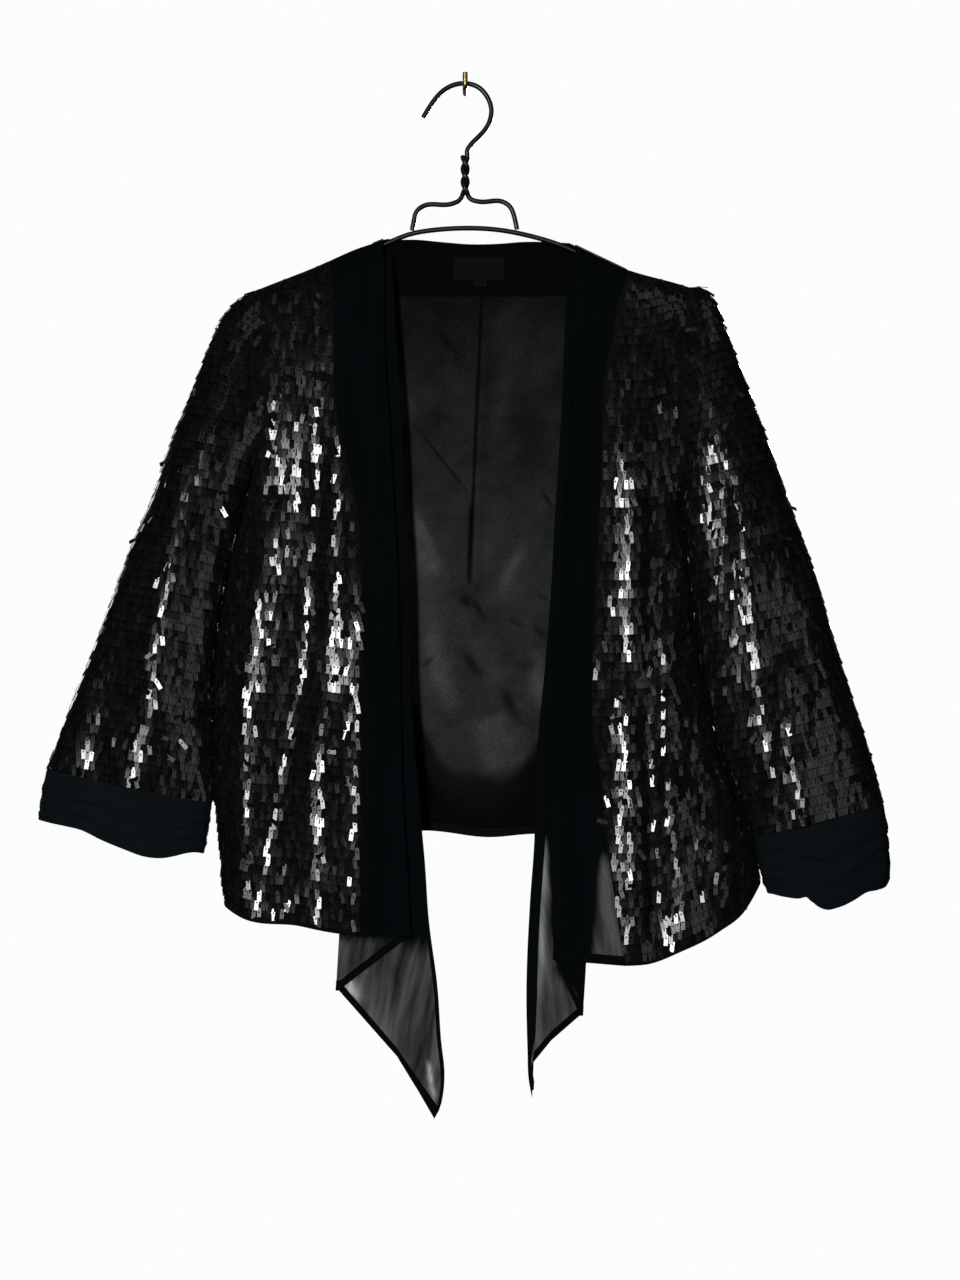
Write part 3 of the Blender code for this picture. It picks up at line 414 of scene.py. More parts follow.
def patch(top, foot, left, right, across, down):
    """Flat (x, z) grid between four edges: both blends added, less that of the corners."""
    u = across[None, :, None]
    v = down[:, None, None]
    corners = (1 - u) * (1 - v) * top[0] + u * (1 - v) * top[-1]
    corners = corners + (1 - u) * v * foot[0] + u * v * foot[-1]
    blends = (1 - v) * top[None] + v * foot[None] + (1 - u) * left[:, None] + u * right[:, None]
    return blends - corners


def read_off(at, stations, values):
    """Points at places along a line of points whose stations are known, in straight spans."""
    return np.stack([np.interp(at, stations, column) for column in values.T], axis=-1)


def run_along(line):
    """How far along a line of points each of them is."""
    steps = np.linalg.norm(np.diff(line, axis=0), axis=-1)
    return np.concatenate(((0.0,), np.cumsum(steps)))


def lower_strip(grid, out, height, steps):
    """Points and outward directions of a grid's lowest part, in rows that rise from its foot
    to a height in the given steps."""
    rows = np.arange(len(grid), dtype=float)
    columns = []
    for points, away in zip(grid.swapaxes(0, 1), out.swapaxes(0, 1)):
        rise = points[:, 2] - points[-1, 2]
        at = np.interp(height * (1 - steps), rise[::-1], rows[::-1])
        columns.append((read_off(at, rows, points), read_off(at, rows, away)))
    return tuple(np.stack(part, axis=1) for part in zip(*columns))


def unpaired(edges):
    """Which directed edges have no partner that runs the other way."""
    base = edges.max() + 1
    return ~np.isin(edges[:, 0] * base + edges[:, 1], edges[:, 1] * base + edges[:, 0])


def shell(name, outer, inner, closed=False, absent=None):
    """Closed wall between two grids. Its UV map is the run of cloth across and down, in metres.

    closed joins the last column to the first; absent marks cells that are left out.
    """
    rows, columns = outer.shape[:2]
    wide = columns + int(closed)
    ids = np.arange(rows * wide).reshape(rows, wide)
    vertex = (np.arange(rows)[:, None] * columns + np.arange(wide)[None] % columns).ravel()
    kept = np.ones((rows - 1, wide - 1), bool) if absent is None else ~absent
    a, b = ids[:-1, :-1][kept], ids[:-1, 1:][kept]
    c, d = ids[1:, 1:][kept], ids[1:, :-1][kept]
    quads = np.stack((a, d, c, b), axis=-1)
    edges = np.concatenate([quads[:, (i, (i + 1) % 4)] for i in range(4)])
    p, q = edges[unpaired(vertex[edges])].T
    total = rows * wide
    corners = np.concatenate((quads, quads[:, ::-1] + total,
                              np.stack((q, p, p + total, q + total), axis=-1)))
    vertex = np.concatenate((vertex, vertex + rows * columns))
    points = np.concatenate((outer.reshape(-1, 3), inner.reshape(-1, 3)))
    spread = np.concatenate((outer, outer[:, :1]), axis=1)[:, :wide]
    run_x = np.zeros((rows, wide))
    run_x[:, 1:] = np.cumsum(np.linalg.norm(np.diff(spread, axis=1), axis=-1), axis=1)
    run_z = np.zeros((rows, wide))
    run_z[1:] = np.cumsum(np.linalg.norm(np.diff(spread, axis=0), axis=-1), axis=0)
    uv = np.stack((run_x, -run_z), axis=-1).reshape(-1, 2) * MM
    uv = np.concatenate((uv, uv))
    faces = vertex[corners]
    used, packed = np.unique(faces, return_inverse=True)
    points, faces = points[used], packed.reshape(faces.shape)
    x, y, z = (points[faces[:, i]] for i in (0, 1, 2))
    w = points[faces[:, 3]]
    volume = np.einsum("ij,ij->", x, np.cross(y, z)) + np.einsum("ij,ij->", x, np.cross(z, w))
    if volume < 0:
        faces, corners = faces[:, ::-1], corners[:, ::-1]
    return mesh_piece(name, points, faces, uv[corners].reshape(-1, 2))


def add_object(name, data):
    """An object of that data in the scene."""
    thing = bpy.data.objects.new(name, data)
    bpy.context.scene.collection.objects.link(thing)
    return thing


def mesh_piece(name, points, faces, uv=None, flat=False):
    """Object with its place in its mesh, from points in millimetres."""
    mesh = bpy.data.meshes.new(name)
    mesh.from_pydata((points * MM).tolist(), [], faces.tolist())
    if uv is not None:
        mesh.uv_layers.new(name="UVMap").data.foreach_set("uv", uv.astype(np.float32).ravel())
    if not flat:
        mesh.shade_smooth()
    return add_object(name, mesh)


def points_of(piece):
    """A piece's points in millimetres."""
    flat = np.empty(3 * len(piece.data.vertices), np.float32)
    piece.data.vertices.foreach_get("co", flat)
    return flat.reshape(-1, 3).astype(float) / MM


def paint(piece, name, values):
    """Stores one value for each point of a piece, which its material reads by name."""
    layer = piece.data.attributes.new(name, "FLOAT", "POINT")
    layer.data.foreach_set("value", values.astype(np.float32))


def dress(piece, material, slot, *nodes):
    """Gives a piece its material, lets it ride on the body, and hides its CAD nodes. Its slot is
    not used.
    """
    piece.data.materials.append(material)
    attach(piece, "root")
    if nodes:
        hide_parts(*nodes)
    return piece


def new_material(name, colour, roughness, **sockets):
    """A Principled material with its uniform values set on the shader's own sockets."""
    material = bpy.data.materials.new(name)
    material.use_nodes = True
    shader = material.node_tree.nodes["Principled BSDF"]
    shader.inputs["Base Color"].default_value = (*colour, 1.0)
    shader.inputs["Roughness"].default_value = roughness
    for key, value in sockets.items():
        shader.inputs[key.replace("_", " ")].default_value = value
    return material, material.node_tree, shader


def add_node(tree, kind, inputs=(), **settings):
    """A shader node with its settings, and its inputs set or linked by name or number."""
    node = tree.nodes.new(kind)
    for key, value in settings.items():
        setattr(node, key, value)
    for key, value in dict(inputs).items():
        if isinstance(value, bpy.types.NodeSocket):
            tree.links.new(value, node.inputs[key])
        else:
            node.inputs[key].default_value = value
    return node


def feed(shader, **outputs):
    """Links outputs to the shader's own sockets."""
    for key, output in outputs.items():
        shader.id_data.links.new(output, shader.inputs[key.replace("_", " ")])


def ramp(tree, factor, stops):
    """Colour ramp through (place, grey or colour) stops."""
    node = add_node(tree, "ShaderNodeValToRGB", {"Fac": factor})
    elements = node.color_ramp.elements
    while len(elements) < len(stops):
        elements.new(0.5)
    for element, (place, colour) in zip(elements, stops):
        element.position = place
        element.color = (*((colour,) * 3 if isinstance(colour, float) else colour), 1.0)
    return node.outputs["Color"]


def tinted(colour, *shares):
    """A colour with each of its three parts times its own share."""
    return tuple(part * share for part, share in zip(colour, shares))


def place_on(tree, kind):
    """Texture coordinates of one kind: UV or Object."""
    return add_node(tree, "ShaderNodeTexCoord").outputs[kind]


def attribute(tree, name):
    """A value painted on the mesh."""
    return add_node(tree, "ShaderNodeAttribute", attribute_name=name,
                    attribute_type="GEOMETRY").outputs["Fac"]


def noise(tree, place, scale, detail, roughness=0.5):
    """Cloudy noise."""
    return add_node(tree, "ShaderNodeTexNoise", {
        "Vector": place, "Scale": scale, "Detail": detail, "Roughness": roughness}).outputs["Fac"]


def bands(tree, place, scale, distortion, direction):
    """Waves across one direction."""
    return add_node(tree, "ShaderNodeTexWave",
                    {"Vector": place, "Scale": scale, "Distortion": distortion},
                    wave_type="BANDS", bands_direction=direction).outputs["Fac"]


def spread(tree, value, low, high, start=0.0, stop=1.0):
    """A value carried from the span start to stop over to the span low to high."""
    return add_node(tree, "ShaderNodeMapRange", {
        "Value": value, "From Min": start, "From Max": stop, "To Min": low,
        "To Max": high}).outputs["Result"]


def multiplied(tree, first, second):
    """Two colours multiplied."""
    return add_node(tree, "ShaderNodeMix", {6: first, 7: second, 0: 1.0}, data_type="RGBA",
                    blend_type="MULTIPLY").outputs[2]


def bumped(tree, height, distance, strength, **sockets):
    """A normal turned by the slope of a height."""
    return add_node(tree, "ShaderNodeBump", {
        "Height": height, "Distance": distance, "Strength": strength,
        **sockets}).outputs["Normal"]


def woven_material(name, colour, roughness, specular, scale, distance, strength=0.6,
                   mottle=0.0, **sockets):
    """Cloth with crossed threads: the higher of two waves on the UV map, and a slow noise
    times mottle."""
    material, tree, shader = new_material(name, colour, roughness,
                                          Specular_IOR_Level=specular, **sockets)
    place = place_on(tree, "UV")
    threads = add_node(tree, "ShaderNodeMath", {
        0: bands(tree, place, scale, 0.6, "X"), 1: bands(tree, place, scale, 0.6, "Y")},
        operation="MAXIMUM").outputs[0]
    if mottle:
        threads = add_node(tree, "ShaderNodeMath",
                           {0: noise(tree, place, 60.0, 3.0), 1: mottle, 2: threads},
                           operation="MULTIPLY_ADD").outputs[0]
    feed(shader, Normal=bumped(tree, threads, distance, strength))
    return material, tree, shader


class SequinSettings(bpy.types.PropertyGroup):
    """Sequins of the fronts, sleeves and back."""

    width: bpy.props.FloatProperty(
        name="Width", description="Width of a sequin", default=0.0036, unit="LENGTH")
    length: bpy.props.FloatProperty(
        name="Length", description="Length of a sequin", default=0.0106, unit="LENGTH")
    column_pitch: bpy.props.FloatProperty(
        name="Column pitch", description="From one column to the next", default=0.0041,
        unit="LENGTH")
    row_pitch: bpy.props.FloatProperty(
        name="Row pitch", description="From one sequin to the next down a column",
        default=0.0080, unit="LENGTH")
    lift: bpy.props.FloatProperty(
        name="Lift", description="How far the lower end stands off the cloth", default=0.0010,
        unit="LENGTH")
    tilt: bpy.props.FloatProperty(
        name="Tilt", description="Spread of the sequins' tilt", default=0.060,
        subtype="ANGLE")
    strays: bpy.props.FloatProperty(
        name="Strays", description="Share of sequins thrown out of line", default=0.06,
        subtype="FACTOR")
    colour: bpy.props.FloatVectorProperty(
        name="Colour", description="Colour of the sequins", default=(0.0186, 0.0178, 0.0175),
        subtype="COLOR")


class ChiffonSettings(bpy.types.PropertyGroup):
    """Chiffon of the waterfall fronts, cuffs and bindings."""

    opacity: bpy.props.FloatProperty(
        name="Opacity", description="Opacity of one face of a single layer", default=0.80,
        subtype="FACTOR")
    hem: bpy.props.FloatProperty(
        name="Hem", description="Width of the turned hem", default=0.0085, unit="LENGTH")
    gathers: bpy.props.IntProperty(
        name="Gathers", description="Gathered folds round each cuff", default=4)
    gather_height: bpy.props.FloatProperty(
        name="Gather height", description="How far the cuffs' folds stand out",
        default=0.0017, unit="LENGTH")
    colour: bpy.props.FloatVectorProperty(
        name="Colour", description="Colour of the chiffon", default=(0.0026, 0.0042, 0.0050),
        subtype="COLOR")


class LiningSettings(bpy.types.PropertyGroup):
    """Satin lining, neck facing and blank label."""

    colour: bpy.props.FloatVectorProperty(
        name="Colour", description="Colour of the satin", default=(0.0252, 0.0273, 0.0266),
        subtype="COLOR")
    roughness: bpy.props.FloatProperty(
        name="Roughness", description="Roughness of the satin", default=0.42, subtype="FACTOR")
    label_colour: bpy.props.FloatVectorProperty(
        name="Label colour", description="Colour of the blank label",
        default=(0.0022, 0.0023, 0.0025), subtype="COLOR")


class StageSettings(bpy.types.PropertyGroup):
    """Floor, light and camera."""

    floor_drop: bpy.props.FloatProperty(
        name="Floor", description="Height of the floor", default=-1.30, unit="LENGTH")
    key_power: bpy.props.FloatProperty(
        name="Key light", description="Power of the key light", default=70.0, unit="POWER")
    surround: bpy.props.FloatProperty(
        name="Surround", description="Brightness of the pale surround", default=1.0)
    ambient: bpy.props.FloatProperty(
        name="Ambient", description="Light that the surround gives", default=0.03)
    lens: bpy.props.FloatProperty(
        name="Lens", description="Focal length", default=85.0, unit="CAMERA")


def panel_grid(edges, top_z, hem, depth, outward, across, down):
    """Outer points of a panel: a patch between two side edges, a top and a hem, set at
    depth(x, z), half a seam's gap inside both edges and half a gap outward."""
    first, last = edges
    top_x = first[1][0] + (last[1][0] - first[1][0]) * across
    foot_x = hem[0][0] + (hem[0][-1] - hem[0][0]) * across
    top = np.stack((top_x, top_z(top_x)), axis=-1)
    foot = np.stack((foot_x, smooth(*hem, foot_x)), axis=-1)
    left = line_down(first, top[0, 1], foot[0, 1], down)
    right = line_down(last, top[-1, 1], foot[-1, 1], down)
    flat = patch(top, foot, left, right, across, down)
    x, z = flat[..., 0], flat[..., 1]
    grid = np.stack((x, depth(x, z), z), axis=-1)
    inward = np.sign(top_x[-1] - top_x[0])
    grid[:, 0, 0] += inward * SEAM_GAP / 2
    grid[:, -1, 0] -= inward * SEAM_GAP / 2
    grid[..., 1] += outward * SEAM_GAP / 2
    return grid


def front_grid(side):
    """Outer points of a front, from its side seam to its waterfall seam."""
    return panel_grid((SIDE[side], WATERFALL[side]["seam"]), crest, HEM[side],
                      partial(front_y, side), -1, eased(FRONT_COLUMNS, 0.25),
                      eased(PANEL_ROWS, 0.2))


def back_top(x):
    """Top edge of the back: the crest on the shoulders, the free neck edge between them."""
    inside = (x > NECK[0][0]) & (x < NECK[0][-1])
    return np.where(inside, smooth(*NECK, x), crest(x))


def back_grid():
    """Outer points of the back, from side seam to side seam."""
    half = eased(BACK_COLUMNS // 2 + 1, 0.3)
    across = np.concatenate((half / 2, 1 - half[::-1][1:] / 2))
    return panel_grid((SIDE["left"], SIDE["right"]), back_top, HEM["back"], back_y, 1, across,
                      eased(PANEL_ROWS, 0.2))


def half_ovals(outer, inner, front, back, middle, angle):
    """Rings between outer and inner ends: x and z go by the cosine of the angle, and depth by
    the sine to the power 0.85, to the front in the first half turn and behind in the second."""
    share = (1 - np.cos(angle)) / 2
    bulge = np.abs(np.sin(angle)) ** 0.85
    depth = np.where(np.sin(angle) >= 0, -front[:, None], back[:, None]) * bulge
    x = outer[:, :1] + (inner[:, :1] - outer[:, :1]) * share
    z = outer[:, 1:] + (inner[:, 1:] - outer[:, 1:]) * share
    return np.stack((x, middle + depth, z), axis=-1)


def sleeve_grid(side, rows, around):
    """Rings of a sleeve: half ovals between the table's ends, blended up to the armhole."""
    table = SLEEVE[side]
    outward = -INWARD[side]
    count = len(table["outer_x"])
    row = np.linspace(0, count - 1, rows)
    outer_x, outer_z, inner_z = (
        smooth(np.arange(count), table[key], row) for key in ("outer_x", "outer_z", "inner_z"))
    inner_x = side_x(side, inner_z) + outward * SLEEVE_CLEARANCE * np.clip(row / 3, 0, 1)
    at = row / row[-1]
    front = smooth(SLEEVE_DEPTH["at"], SLEEVE_DEPTH["front"], at)
    back = smooth(SLEEVE_DEPTH["at"], SLEEVE_DEPTH["back"], at)
    fade = np.clip(1 - row / 4, 0, 1)[:, None]
    angle = np.linspace(0, 2 * np.pi, around, endpoint=False)[None]
    rings = half_ovals(np.stack((outer_x, outer_z), axis=-1),
                       np.stack((inner_x, inner_z), axis=-1), front, back,
                       HANGER_Y - SLEEVE_FORWARD * (1 - fade), angle)
    z = rings[0, :, 2]
    edge_x = side_x(side, z)
    edge_y = np.where(np.sin(angle[0]) >= 0, front_y(side, edge_x, z), back_y(edge_x, z))
    edge = np.stack((edge_x + outward * (ARMHOLE_GAP - SEAM_GAP / 2), edge_y, z), axis=-1)
    rings = rings + (edge - rings[0])[None] * fade[..., None]
    before = np.clip((HANGER_Y - SLEEVE_FORWARD - rings[..., 1]) / 18, 0, 1) * (1 - fade)
    rings[..., 1] -= folds("sleeve_" + side, rings[..., 0], rings[..., 2]) * before
    return rings


def tube_normals(rings):
    """Normals of a tube's rings that point away from its middle."""
    out = grid_normals(rings, closed=True)
    middle = rings.mean(axis=1, keepdims=True)
    return out * np.sign(np.sum(out * (rings - middle), axis=(1, 2), keepdims=True))


def facing_way(normals, sign):
    """Normals turned so that the one in the middle has that sign along y."""
    return normals * (sign * np.sign(normals[len(normals) // 2, normals.shape[1] // 2, 1]))


class JACKET_OT_cloth(bpy.types.Operator):
    """Dark base cloth of the fronts, the back and the sleeves"""

    bl_idname = "jacket.cloth"
    bl_label = "Base cloth"

    def execute(self, context):
        material, _, _ = woven_material("base_cloth", (0.0030, 0.0028, 0.0028), 0.92, 0.03,
                                        260.0, 0.0002)
        for side in SIDES:
            grid = front_grid(side)
            grid[:, -1, 0] += INWARD[side] * SEAM_OVERLAP
            rings = sleeve_grid(side, SLEEVE_ROWS, SLEEVE_COLUMNS)
            rings[0, :, 0] += INWARD[side] * ARMHOLE_OVERLAP
            self.wall("front_" + side, grid, facing_way(grid_normals(grid), -1), material)
            self.wall("sleeve_" + side, rings, tube_normals(rings), material, closed=True)
        grid = back_grid()
        self.wall("back", grid, facing_way(grid_normals(grid), 1), material)
        return {"FINISHED"}

    def wall(self, node, grid, out, material, closed=False):
        """The cloth of one panel, inside its outer points."""
        piece = shell("cloth_" + node, grid, grid - CLOTH_WALL * out, closed)
        dress(piece, material, "sequinned_cloth", node)


def sequin_points(settings):
    """A sequin's own points, across, down and out, and its triangles: a flat plate with a
    rounded upper end and a square lower end."""
    half, length = settings.width / MM / 2, settings.length / MM
    outline = np.array(((0, 0), (0.7 * half, 0.04 * length), (half, 0.14 * length),
                        (half, length), (-half, length), (-half, 0.14 * length),
                        (-0.7 * half, 0.04 * length)))
    corners = len(outline)
    rim = np.arange(corners)
    after = (rim + 1) % corners
    face = np.array(((0, 1, 6), (1, 2, 6), (2, 5, 6), (2, 3, 5), (3, 4, 5)))
    points = np.concatenate((np.insert(outline, 2, 0.0, axis=1),
                             np.insert(outline, 2, SEQUIN_THICKNESS, axis=1)))
    faces = np.concatenate((face[:, ::-1], face + corners,
                            np.stack((rim, after, after + corners), axis=-1),
                            np.stack((rim, after + corners, rim + corners), axis=-1)))
    return points, faces


def turned(first, second, angle):
    """Two square directions turned in their own plane."""
    sine, cosine = np.sin(angle)[:, None], np.cos(angle)[:, None]
    return cosine * first + sine * second, cosine * second - sine * first


def scatter(name, anchors, normals, downs, settings, draws):
    """All sequins of a panel in one mesh.

    Each sequin's points are its anchor plus across times x, down times y and outward times z,
    after its own small turn, roll and lift, and a few are thrown well out of line.
    """
    own, triangles = sequin_points(settings)
    count = len(anchors)
    facing = np.clip(2.0 * np.abs(normals[:, 1]), 0, 1)
    stray = (draws.random(count) < settings.strays) & (facing == 1)
    turn = draws.normal(0, 0.13, count) + stray * draws.normal(0, 0.6, count)
    roll = draws.normal(0, settings.tilt, count) + stray * draws.normal(0, 0.35, count)
    pitch = np.arctan2(settings.lift, settings.length) + draws.normal(0, 0.038, count)
    pitch = np.maximum(pitch + stray * np.abs(draws.normal(0, 0.14, count)), 0.03)
    pitch = pitch * (0.3 + 0.7 * facing)
    down = unit(downs)
    out = unit(normals - down * np.sum(down * normals, axis=-1, keepdims=True))
    down, across = turned(down, np.cross(down, out), turn)
    down, up = turned(down, out, pitch)
    across, up = turned(across, up, roll)
    spot = anchors + out * (0.15 + 0.3 * draws.random(count)[:, None])
    points = spot[:, None] + sum(
        own[None, :, k:k + 1] * axis[:, None] for k, axis in enumerate((across, down, up)))
    faces = triangles[None] + (np.arange(count) * len(own))[:, None, None]
    flat = own[:, :2] * MM + (settings.width / 2, 0.0)
    uv = np.tile(flat[triangles.ravel()], (count, 1))
    piece = mesh_piece(name, points.reshape(-1, 3), faces.reshape(-1, 3), uv, flat=True)
    paint(piece, "tone", np.repeat(draws.random(count), len(own)))
    return piece


def height_lattice(depth, columns, top, foot, pitch, tail):
    """Anchors on a surface y = depth(x, z): up each half column at every second run of cloth,
    the odd ones a row higher, from tail millimetres above foot(x) to top(x)."""
    anchors = []
    for number, x in enumerate(columns):
        high, low = float(top(x)), float(foot(x))
        if high - low < 2 * tail:
            continue
        z = high - np.linspace(0, 1, 500) ** 2 * (high - low - tail)
        line = np.stack((np.full_like(z, x), depth(np.full_like(z, x), z), z), axis=-1)
        run = run_along(line)
        at = np.arange(run[-1] - pitch * (number % 2), 1.0, -2 * pitch)
        anchors.append(read_off(at, run, line))
    return np.concatenate(anchors)


def surface_frame(depth, anchors, sign):
    """Normals and downward directions of y = depth(x, z) at anchors, from its two slopes."""
    x, z = anchors[:, 0], anchors[:, 2]
    step = 0.8
    slope_x = (depth(x + step, z) - depth(x - step, z)) / (2 * step)
    slope_z = (depth(x, z + step) - depth(x, z - step)) / (2 * step)
    normals = unit(np.stack((-slope_x, np.ones_like(x), -slope_z), axis=-1)) * sign
    downs = np.tile((0.0, 0.0, -1.0), (len(x), 1))
    downs[:, 1] = -slope_z
    return normals, unit(downs)


def seam_columns(side, depth, sign, pitch):
    """Two columns beside a side seam below the underarm: they turn from facing straight out
    sideways to half way forwards, because the cloth closes there as a half round."""
    inward = INWARD[side]
    foot = SIDE[side][0][-1]
    parts = []
    for offset, forward, start in ((0.3, 0.35, 0.0), (2.3, 1.0, 0.5)):
        z = np.arange(UNDERARM[side] - 4 - start * pitch, foot + 13, -pitch)
        x = side_x(side, z) + inward * offset
        lean = (side_x(side, z - 1) - side_x(side, z + 1)) / 2
        anchors = np.stack((x, depth(x, z), z), axis=-1)
        normals = unit(np.stack((np.full_like(x, -inward), np.full_like(x, sign * forward),
                                 -inward * lean), axis=-1))
        downs = unit(np.stack((lean, np.zeros_like(x), np.full_like(x, -1.0)), axis=-1))
        parts.append((anchors, normals, downs))
    return [np.concatenate(values) for values in zip(*parts)]


def clear_of(side, x, z):
    """Which points are 1 mm inside the armhole or 4 mm inside the side seam below it."""
    return (x - side_x(side, z)) * INWARD[side] > np.where(z > UNDERARM[side], 1.0, 4.0)


def sequin_material(settings):
    """Satin plastic with a metallic coat: its tone and roughness vary by sequin, with a dark
    hole near the upper end."""
    colour = tuple(settings.colour)
    material, tree, shader = new_material(
        "sequins", colour, 0.2, Metallic=0.85, Specular_IOR_Level=0.4)
    tone = attribute(tree, "tone")
    tint = ramp(tree, tone, ((0.0, tinted(colour, 0.7, 0.7, 0.72)), (0.6, colour),
                             (1.0, tinted(colour, 1.5, 1.47, 1.44))))
    place = add_node(tree, "ShaderNodeUVMap", uv_map="UVMap").outputs["UV"]
    centred = add_node(tree, "ShaderNodeMapping",
                       {"Vector": place, "Scale": (1 / MM, 1 / MM, 1.0),
                        "Location": (-settings.width / MM / 2, -SEQUIN_HOLE[0], 0.0)})
    distance = add_node(tree, "ShaderNodeVectorMath", {0: centred.outputs["Vector"]},
                        operation="LENGTH").outputs["Value"]
    hole = ramp(tree, distance, ((SEQUIN_HOLE[1] - 0.04, 0.02), (SEQUIN_HOLE[1] + 0.04, 1.0)))
    feed(shader, Base_Color=multiplied(tree, tint, hole),
         Metallic=spread(tree, hole, 1.0, 0.85), Roughness=spread(tree, tone, 0.14, 0.22))
    return material


class JACKET_OT_sequins(bpy.types.Operator):
    """Long sequins that hang like shingles over the fronts, the back and the sleeves"""

    bl_idname = "jacket.sequins"
    bl_label = "Sequins"

    def execute(self, context):
        settings = context.scene.jacket_sequins
        material = sequin_material(settings)
        draws = np.random.default_rng(SEED)
        spacing = tuple(v / MM for v in (settings.column_pitch, settings.row_pitch,
                                         settings.length))
        for group, lay_out, names in (("front", self.front, SIDES), ("sleeve", self.sleeve, SIDES),
                                      ("back", self.back, ("",))):
            for side in names:
                name = "_".join(("sequins", group, side)).rstrip("_")
                anchors, normals, downs = (
                    np.concatenate(values) for values in zip(*lay_out(side, *spacing)))
                piece = scatter(name, anchors, normals, downs, settings, draws)
                dress(piece, material, "sequinned_cloth")
        return {"FINISHED"}

    def front(self, side, wide, pitch, length):
        """Columns straight down the front, kept between the side and the waterfall seam."""
        low, high = (-226.0, -88.0) if side == "left" else (109.0, 263.0)
        depth = partial(front_y, side)
        anchors = height_lattice(depth, np.arange(low, high, wide / 2), crest,
                                 partial(smooth, *HEM[side]), pitch, length + HEM_CLEAR)
        x, z = anchors[:, 0], anchors[:, 2]
        from_seam = (smooth(*WATERFALL[side]["seam"], z) - x) * INWARD[side]
        anchors = anchors[clear_of(side, x, z) & (from_seam > 2.2)]
        return [(anchors, *surface_frame(depth, anchors, -1.0)),
                seam_columns(side, depth, -1.0, pitch)]

    def back(self, _, wide, pitch, length):
        """Columns straight down the back, from the crest or the neck edge to the hem."""
        anchors = height_lattice(back_y, np.arange(-226.0, 262.0, wide / 2), back_top,
                                 partial(smooth, *HEM["back"]), pitch, length + HEM_CLEAR)
        x, z = anchors[:, 0], anchors[:, 2]
        anchors = anchors[clear_of("left", x, z) & clear_of("right", x, z)]
        return [(anchors, *surface_frame(back_y, anchors, 1.0)),
                *(seam_columns(side, back_y, 1.0, pitch) for side in SIDES)]

    def sleeve(self, side, wide, pitch, length):
        """Half columns down the sleeve at equal shares of its rings, hanging mostly half way
        between the sleeve's own direction and the chord to where they end, and a little
        straight down."""
        rings = sleeve_grid(side, 240, 360)
        loops = np.concatenate((rings, rings[:, :1]), axis=1)
        runs = [run_along(loop) for loop in loops]
        count = int(round(np.mean([run[-1] for run in runs]) / wide)) * 2
        shares = np.arange(count) / count
        lines = np.stack([read_off(shares * run[-1], run, loop)
                          for run, loop in zip(runs, loops)])
        out = tube_normals(lines)
        along = unit(np.gradient(lines, axis=0))
        parts = []
        for column in range(count):
            line = lines[:, column]
            down = run_along(line)
            at = np.arange(down[-1] - length + 2.0 - pitch * (column % 2), 1.0, -2 * pitch)
            parts.append([read_off(at, down, values)
                          for values in (line, out[:, column], along[:, column])]
                         + [read_off(at + length, down, line)])
        anchors, normals, downs, tips = (np.concatenate(values) for values in zip(*parts))
        normals = unit(normals)
        downs = unit(unit(downs) + unit(tips - anchors))
        hanging = unit((0.0, 0.0, -1.0) - normals * -normals[:, 2:])
        steep = np.clip(1.4 * np.abs(normals[:, 1:2]) - 0.25, 0, 1)
        return [(anchors, normals, unit(downs * (1 - 0.6 * steep) + hanging * 0.6 * steep))]


def chiffon_material(name, settings, alpha, share=1.0, mottle=0.8):
    """Matte crepe. Where its alpha is below 0.9, the ground shows through in soft streaks down
    the cloth, and more where the mesh's attribute clear is above zero."""
    material, tree, shader = woven_material(
        name, tinted(settings.colour, share, share, share), 0.85, 0.03 * share, 420.0, 0.00012,
        0.5, mottle, Alpha=alpha)
    if alpha < 0.9:
        drawn_out = add_node(tree, "ShaderNodeMapping", {
            "Vector": place_on(tree, "UV"), "Scale": (75.0, 9.0, 1.0)}).outputs["Vector"]
        cover = spread(tree, noise(tree, drawn_out, 1.0, 3.0, 0.6), alpha - 0.10, alpha + 0.10,
                       0.3, 0.7)
        cover = add_node(tree, "ShaderNodeMath", {0: cover, 1: attribute(tree, "clear")},
                         operation="SUBTRACT", use_clamp=True).outputs[0]
        feed(shader, Alpha=cover)
    return material


def fold_section(flat_steps, bend_steps):
    """Columns of a Z folded piece: lines on both sides, share between them, layer, bend.

    Lines are counted from the seam: both folds, the last layer's middle, its tail, the free edge.
    """
    columns = []
    turns = np.pi * np.arange(1, bend_steps) / bend_steps
    for start, steps in enumerate(flat_steps):
        stop = start + 1
        layer = min(start, 2)
        shares = np.linspace(0, 1, steps + 1)
        for share in shares[:-1] if stop in (3, 4) else shares:
            columns.append((start, stop, share, layer, 0.0))
        if stop in (1, 2):
            for turn in turns:
                columns.append((start, stop, 1.0, layer + (1 - np.cos(turn)) / 2, np.sin(turn)))
    return columns


